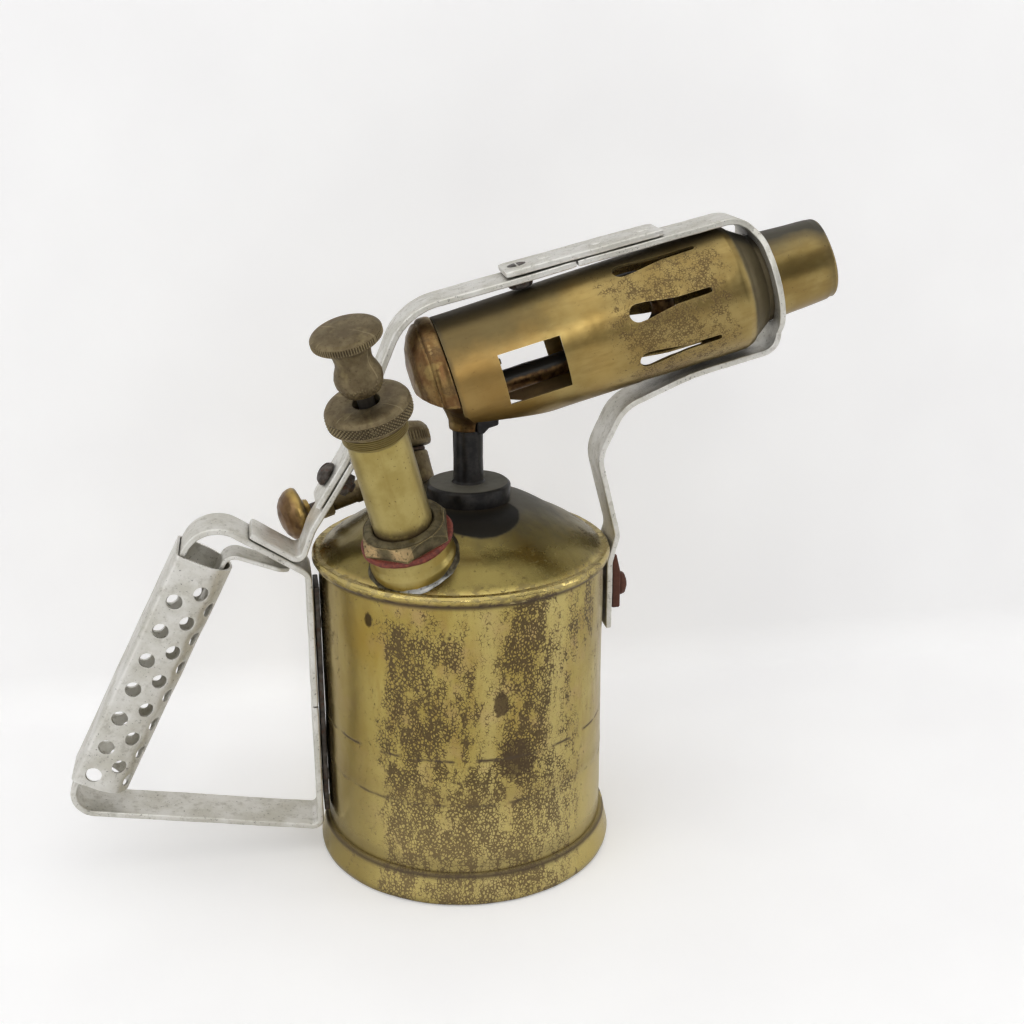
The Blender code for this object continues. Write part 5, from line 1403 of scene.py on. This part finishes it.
for col, ang in enumerate((-20, 20, 60, 120, 160, 200)):
    for row in range(7):
        zz = -9.0 - row * 10.5 - (5.2 if col % 2 == 0 else 0.0)
        a = radians(ang - 90)
        d_loc = Vector((cos(a), sin(a), 0))
        m = Matrix((Vector((0, 0, 1)), d_loc.cross(Vector((0, 0, 1))), d_loc)).transposed().to_4x4()
        m.translation = Vector((0.5, 0, zz)) * MM
        t = prism("tool", circle(2.4, 28), 5.0, 12.0)
        t.matrix_world = GRIP_M @ m
        tools.append(t)
cut(gs, tools)
# punched holes: the sheet is drawn in slightly round each one
for v in gs.data.vertices:
    p = v.co * 1000
    f = 0.0
    for col, ang in enumerate((-20, 20, 60, 120, 160, 200)):
        a = radians(ang - 90)
        h = Vector((0.5 + 9.3 * cos(a), 9.3 * sin(a), 0))
        row = round((-9.0 - (5.2 if col % 2 == 0 else 0.0) - p.z) / 10.5)
        row = max(0, min(6, row))
        h.z = -9.0 - row * 10.5 - (5.2 if col % 2 == 0 else 0.0)
        d = (p - h).length
        f = max(f, exp(-((max(0.0, d - 2.2)) / 0.9) ** 2))
    r = Vector((p.x - 0.5, p.y, 0))
    if r.length > 1 and f > 0.02:
        v.co -= r.normalized() * 0.28 * f * MM
soften(gs, 0.16, 2, 45)
jitter(gs, 0.20, 13, 4)
done(gs, "aluminium", reps="grip_sleeve")

f0 = GRIP_TOP - GRIP_L * 6.2
fl = bend([((f0 - GRIP_D * 16).x, (f0 - GRIP_D * 16).z, 0), ((f0 + GRIP_D * 4.6).x, (f0 + GRIP_D * 4.6).z, 4.0), (-53.8, 96.9, 0)])
fr = strap("v_finger_rest", fl, 1.5, 5.0, round_end=True, step=1.2)
jitter(fr, 0.10, 7, 5)
done(fr, "aluminium", reps="finger_rest")

st_ = soften(xz_block("v_backing_strip", [(-46.95, 14), (-46.95, 92), (-45.35, 92), (-45.35, 14)], -6.0, 6.0), 0.25, 2)
done(st_, "steel_dark", reps="backing_strip")
for nm, zz in (("handle_rivet_upper", 78.0), ("handle_rivet_lower", 24.0)):
    m = axis_matrix((0, 0, zz), (-1, 0, 0), x_hint=(0, 0, 1))
    rv = lathe("v_" + nm, [(0, 42.6), (3.2, 42.6, 0.4), (3.2, 43.7, 0.2), (1.9, 43.7), (1.9, 47.5), (3.4, 49.15, 0.15), (0, 49.3)], m, seg=48)
    done(rv, "aluminium", reps=nm)

# ==================================================================== guard
foot = bend([(-65.2, zt(-65.2) + 2.65, 0), (-50.4, zt(-50.4) + 2.65, 2.6), (-46.6, 111.0, 16), (-33.6, 131.6, 0)])
gr = strap("v_guard_foot", foot, STRAP_T, STRAP_W)
d1 = (Vector((-33.6, 131.6)) - Vector((-46.6, 111.0))).normalized()
off = Vector((-d1.y, d1.x)) * (STRAP_T + GAP)
p_a = Vector((-42.7, 117.2)) + off
p_b = Vector((-34.6, 130.0)) + off
zr = lambda x: 184.7 + 0.24 * (x - 13.2)
arch = bend([(p_a.x, p_a.y, 0), (p_b.x + 1.0, p_b.y + 1.6, 22), (-16.8, 176.9, 20), (34.6, zr(34.6), 0)])
ga = strap("v_guard_arch", arch, STRAP_T, STRAP_W)
PL_S = 98.0


def st(p):
    q = Vector((p.x, 0, p.y)) - BURN_O
    return q.dot(BURN_A), q.dot(BURN_N)


def eye(p):
    s, t = st(p)
    if abs(s - PL_S) < 1.2 and abs(t) < 18.0:
        return max(STRAP_W, sqrt(max(0.0, 18.2 ** 2 - t * t)))
    return STRAP_W


bp = lambda s, t: (burner_pt(s, t).x, burner_pt(s, t).z)
u = 20.0
for _ in range(30):
    x, z = bp(PL_S, u)
    u -= (z - zr(x)) * 0.9
c1 = bp(PL_S, u)
c2 = bp(PL_S, -21.6)
fl2 = bend([(35.2, zr(35.2), 0), (c1[0], c1[1], 9.0), (c2[0], c2[1], 6.0), (72.0, 154.7, 60.0), (50.0, 145.0, 13.0),
            (42.6, 129.5, 12.0), (49.1, 103.6, 6.0), (46.6, 94.6, 5.0), (46.7, 72.0, 0)])
gf = strap("v_guard_front", fl2, STRAP_T, STRAP_W, width_of=eye, step=0.8)
cut(gf, rod(14.1, 90, 110, BURN_M, 96))
soften(gf, 0.3, 2, 50)
jitter(gf, 0.16, 14, 3)
jitter(gf, 0.05, 2.2, 8)

pth = [Vector((13.6, zr(13.6) + 2.25)), Vector((61.0, zr(61.0) + 2.25))]
jp = strap("v_joint_plate", pth, STRAP_T, STRAP_W - 0.3)
rn = Vector((-0.24, 0, 1)).normalized()
jp_tools, ga_tools, gf_tools = [], [], []
for nm, x in (("plate_rivet_rear", 27.0), ("plate_rivet_mid", 43.0), ("plate_rivet_front", 57.0)):
    m = axis_matrix((x, 0, zr(x)), rn, x_hint=(1, 0, 0))
    rv = lathe("v_" + nm, [(0, 4.05), (1.4, 3.85, 0.6), (2.4, 3.35, 0.3), (2.5, 3.1), (1.3, 3.05), (1.3, -1.2), (2.4, -1.25), (2.2, -1.85, 0.3), (0, -2.1)], m, seg=40,
               disp=lambda ph, r, z: wob(0.08, 1.6, 3.0)(ph, r, z) if r > 0.5 and z > 3.2 else 0 * ph)
    done(rv, "aluminium", reps=nm)
jitter(jp, 0.10, 10, 6)
jitter(jp, 0.04, 2.0, 9)
done(jp, "aluminium", reps="joint_plate")
m = axis_matrix((18.5, 0, zr(18.5)), rn, x_hint=(1, 0, 0))
sc = lathe("v_plate_screw", [(0, 3.45), (1.5, 3.4, 0.5), (2.9, 3.15, 0.2), (2.9, 2.9), (1.6, 1.75), (1.6, -4.0, 0.3), (0, -4.0)], m, seg=48)
cut(sc, prism("tool", [(-0.35, -5), (0.35, -5), (0.35, 5), (-0.35, 5)], 2.75, 8.0, m))
done(sc, "steel_dark", reps="plate_screw")


def hexnut(name, af, z0, z1, bore, m, turn0=0.0, mat="steel_dark", reps=None):
    o = prism(name, hexagon(af, turn0), z0, z1, m)
    R = af / 2
    cut(o, [rod(bore, z0 - 2, z1 + 2, m, 40),
            lathe("tool", [(R * 0.93, z1 + 0.1), (R * 1.25, z1 - 0.75), (R * 1.4, z1 + 0.6), (R * 0.93, z1 + 0.6)], m, seg=60),
            lathe("tool", [(R * 0.93, z0 - 0.1), (R * 1.25, z0 + 0.75), (R * 1.4, z0 - 0.6), (R * 0.93, z0 - 0.6)], m, seg=60)])
    soften(o, 0.14, 2)
    return done(o, mat, reps=reps)


hexnut("v_plate_nut", 6.6, -3.7, -1.3, 1.95, m, reps="plate_nut")

lap = Vector((-38.0, 124.7))
lapn = Vector((-d1.y, 0, d1.x))
m = axis_matrix((lap.x, 0, lap.y), lapn, x_hint=(0, 1, 0))
cut(gr, rod(2.0, -6, 6, m))
cut(ga, rod(2.0, -6, 8, m))
soften(gr, 0.2, 2, 50)
soften(ga, 0.2, 2, 50)
jitter(gr, 0.14, 11, 3)
jitter(gr, 0.05, 2.2, 8)
jitter(ga, 0.16, 14, 5)
jitter(ga, 0.05, 2.2, 9)
done(gr, "aluminium", reps="guard_foot")
done(ga, "aluminium", reps="guard_arch")
done(gf, "aluminium", reps="guard_front")
ls = lathe("v_lap_screw", [(0, 6.5), (1.6, 6.25, 0.8), (3.1, 5.5, 0.8), (3.85, 4.2, 0.5), (3.8, 3.45, 0.2), (1.6, 3.4), (1.6, -5.6, 0.3), (0, -5.6)], m, seg=64,
           step=0.6, disp=lambda ph, r, z: wob(0.10, 2, 3.0)(ph, r, z) if r > 1.8 else 0 * ph)
cut(ls, prism("tool", [(-0.55, -6), (0.55, -6), (0.55, 6), (-0.55, 6)], 4.7, 8.0, m))
soften(ls, 0.12, 2)
done(ls, "steel_dark", reps="lap_screw")
hexnut("v_lap_nut", 7.0, -4.3, -1.3, 1.95, m, radians(15), reps="lap_nut")

m = axis_matrix((0, 0, 84.5), (1, 0, 0), x_hint=(0, 0, 1))
pw = prism("v_lug_plate", [(10.2, 0.0), (6.0, 5.6), (-6.6, 5.6), (-6.6, -5.6), (6.0, -5.6)], 48.1, 50.9, m, rows=2)
soften(pw, 0.7, 3)
jitter(pw, 0.12, 2.4, 3)
done(pw, "rusty_steel", reps="lug_plate")
lb = lathe("v_lug_bolt", [(0, 54.2), (1.6, 54.0, 0.8), (3.3, 53.3, 0.8), (4.0, 52.0, 0.4), (3.9, 51.05, 0.2), (2.1, 51.05), (2.1, 40.6, 0.3), (0, 40.6)], m, seg=64,
           step=0.6, disp=lambda ph, r, z: wob(0.16, 1.8, 3.0)(ph, r, z) if r > 2.4 else 0 * ph)
cut(lb, prism("tool", [(-5, -0.5), (5, -0.5), (5, 0.5), (-5, 0.5)], 53.0, 56.0, m))
soften(lb, 0.12, 2)
done(lb, "rusty_steel", reps="lug_bolt")

# ============================ carried-over nodes: hidden inside, own finishes
slot_of = {s["node"]: s["material_slot"] for s in frame["record"]["subparts"]}
for name, ob in frame["nodes"].items():
    if ob.hide_render:
        continue
    ob.data.materials.clear()
    ob.data.materials.append(MATS[slot_of[name]])

# ==================================================================== stage
def emit_area(name, loc, target, size, power, color=(1, 1, 1), size_y=None):
    li = bpy.data.lights.new(name, "AREA")
    li.energy = power
    li.color = color
    li.shape = "RECTANGLE"
    li.size = size
    li.size_y = size_y or size
    ob = bpy.data.objects.new(name, li)
    bpy.context.scene.collection.objects.link(ob)
    ob.location = loc
    ob.rotation_euler = (Vector(target) - Vector(loc)).to_track_quat("-Z", "Y").to_euler()
    return ob


def cloth():
    g = Graph("v_backdrop")
    f = g.noise(60, 3, 0.5, seed=3)
    c = g.mix(g.step(f, 0.3, 0.7), (0.865, 0.86, 0.865), (0.90, 0.898, 0.90))
    n = g.bump(g.noise(70, 2, 0.4, seed=5), 1.5, 0.35)
    m = g.surface(c, 0.9, 0.0, n, spec=0.1)
    b = [k for k in m.node_tree.nodes if k.type == "BSDF_PRINCIPLED"][0]
    lp = m.node_tree.nodes.new("ShaderNodeLightPath")
    lift = g.math("MULTIPLY", Sock(g, lp.outputs["Is Camera Ray"]), 0.22)
    m.node_tree.links.new(lift.k, b.inputs["Emission Strength"])
    b.inputs["Emission Color"].default_value = (1.0, 0.998, 1.0, 1.0)
    # seen from behind or below the cloth is clear, so that the far side can be looked at
    geo = m.node_tree.nodes.new("ShaderNodeNewGeometry")
    clear = m.node_tree.nodes.new("ShaderNodeBsdfTransparent")
    both = m.node_tree.nodes.new("ShaderNodeMixShader")
    m.node_tree.links.new(geo.outputs["Backfacing"], both.inputs[0])
    m.node_tree.links.new(b.outputs[0], both.inputs[1])
    m.node_tree.links.new(clear.outputs[0], both.inputs[2])
    m.node_tree.links.new(both.outputs[0], g.out.inputs[0])
    return m


# floor that sweeps up into a wall close behind the lamp
sweep = [(-2.2, 0.0), (-0.6, 0.0), (0.0, 0.0), (0.100, 0.0)]
for k in range(1, 10):
    a = radians(86) * k / 9
    sweep.append((0.100 + 0.016 * sin(a), 0.016 * (1 - cos(a))))
yl, zl = sweep[-1]
for k in range(1, 6):
    sweep.append((yl + 0.07 * k / 5 * 1.0, zl + 1.6 * k / 5))
V, F = [], []
NX = 25
for (y, z) in sweep:
    for i in range(NX):
        V.append((-3.0 + 6.0 * i / (NX - 1), y, z - 0.0002))
for r in range(len(sweep) - 1):
    for i in range(NX - 1):
        a = r * NX + i
        F.append((a, a + 1, a + NX + 1, a + NX))
me = bpy.data.meshes.new("backdrop")
me.from_pydata(V, [], F)
me.shade_smooth()
floor_ob = bpy.data.objects.new("backdrop", me)
bpy.context.scene.collection.objects.link(floor_ob)
me.materials.append(cloth())

world = bpy.data.worlds.new("soft")
bpy.context.scene.world = world
world.use_nodes = True
wt = world.node_tree
bg = wt.nodes["Background"]
wg = Graph.__new__(Graph)
wg.t = wt
geo = wt.nodes.new("ShaderNodeTexCoord")
nx_, ny_, nz_ = wg.sep(Sock(wg, geo.outputs["Generated"]))
up = wg.step(nz_, 0.0, 0.9)
frontness = wg.step(ny_, 0.15, -0.85)
wcol = wg.mix(up, (0.60, 0.61, 0.63), (0.98, 0.99, 1.0))
wcol = wg.mix(frontness * 0.72, wcol, (0.13, 0.125, 0.12))
wt.links.new(wcol.k, bg.inputs[0])
bg.inputs[1].default_value = 0.62

emit_area("key_top", (-0.25, -0.30, 1.30), (0, 0, 0.08), 2.2, 7.9, (1.0, 0.995, 0.98), 1.8)
emit_area("side_left", (-1.0, -0.75, 0.55), (0, 0, 0.08), 0.8, 3.2, (0.98, 0.99, 1.0), 1.0)
emit_area("side_right", (1.10, -0.28, 0.50), (0, 0, 0.08), 0.30, 1.9, (1.0, 0.98, 0.95), 0.9)
emit_area("front_strip", (-0.10, -1.45, 0.75), (0, 0, 0.08), 0.26, 2.9, (1.0, 0.99, 0.97), 0.9)

cam = bpy.data.cameras.new("camera")
cam.sensor_width = 36.0
cam.lens = 1440.74 * 36.0 / 1024.0
cam.clip_start = 0.01
co = bpy.data.objects.new("camera", cam)
bpy.context.scene.collection.objects.link(co)
co.location = (-0.05986, -0.42473, 0.25788)
co.rotation_euler = (radians(90 - 18.807), radians(0.09), radians(-10.209))
bpy.context.scene.camera = co
bpy.context.scene.view_settings.view_transform = "Standard"
bpy.context.scene.view_settings.look = "None"
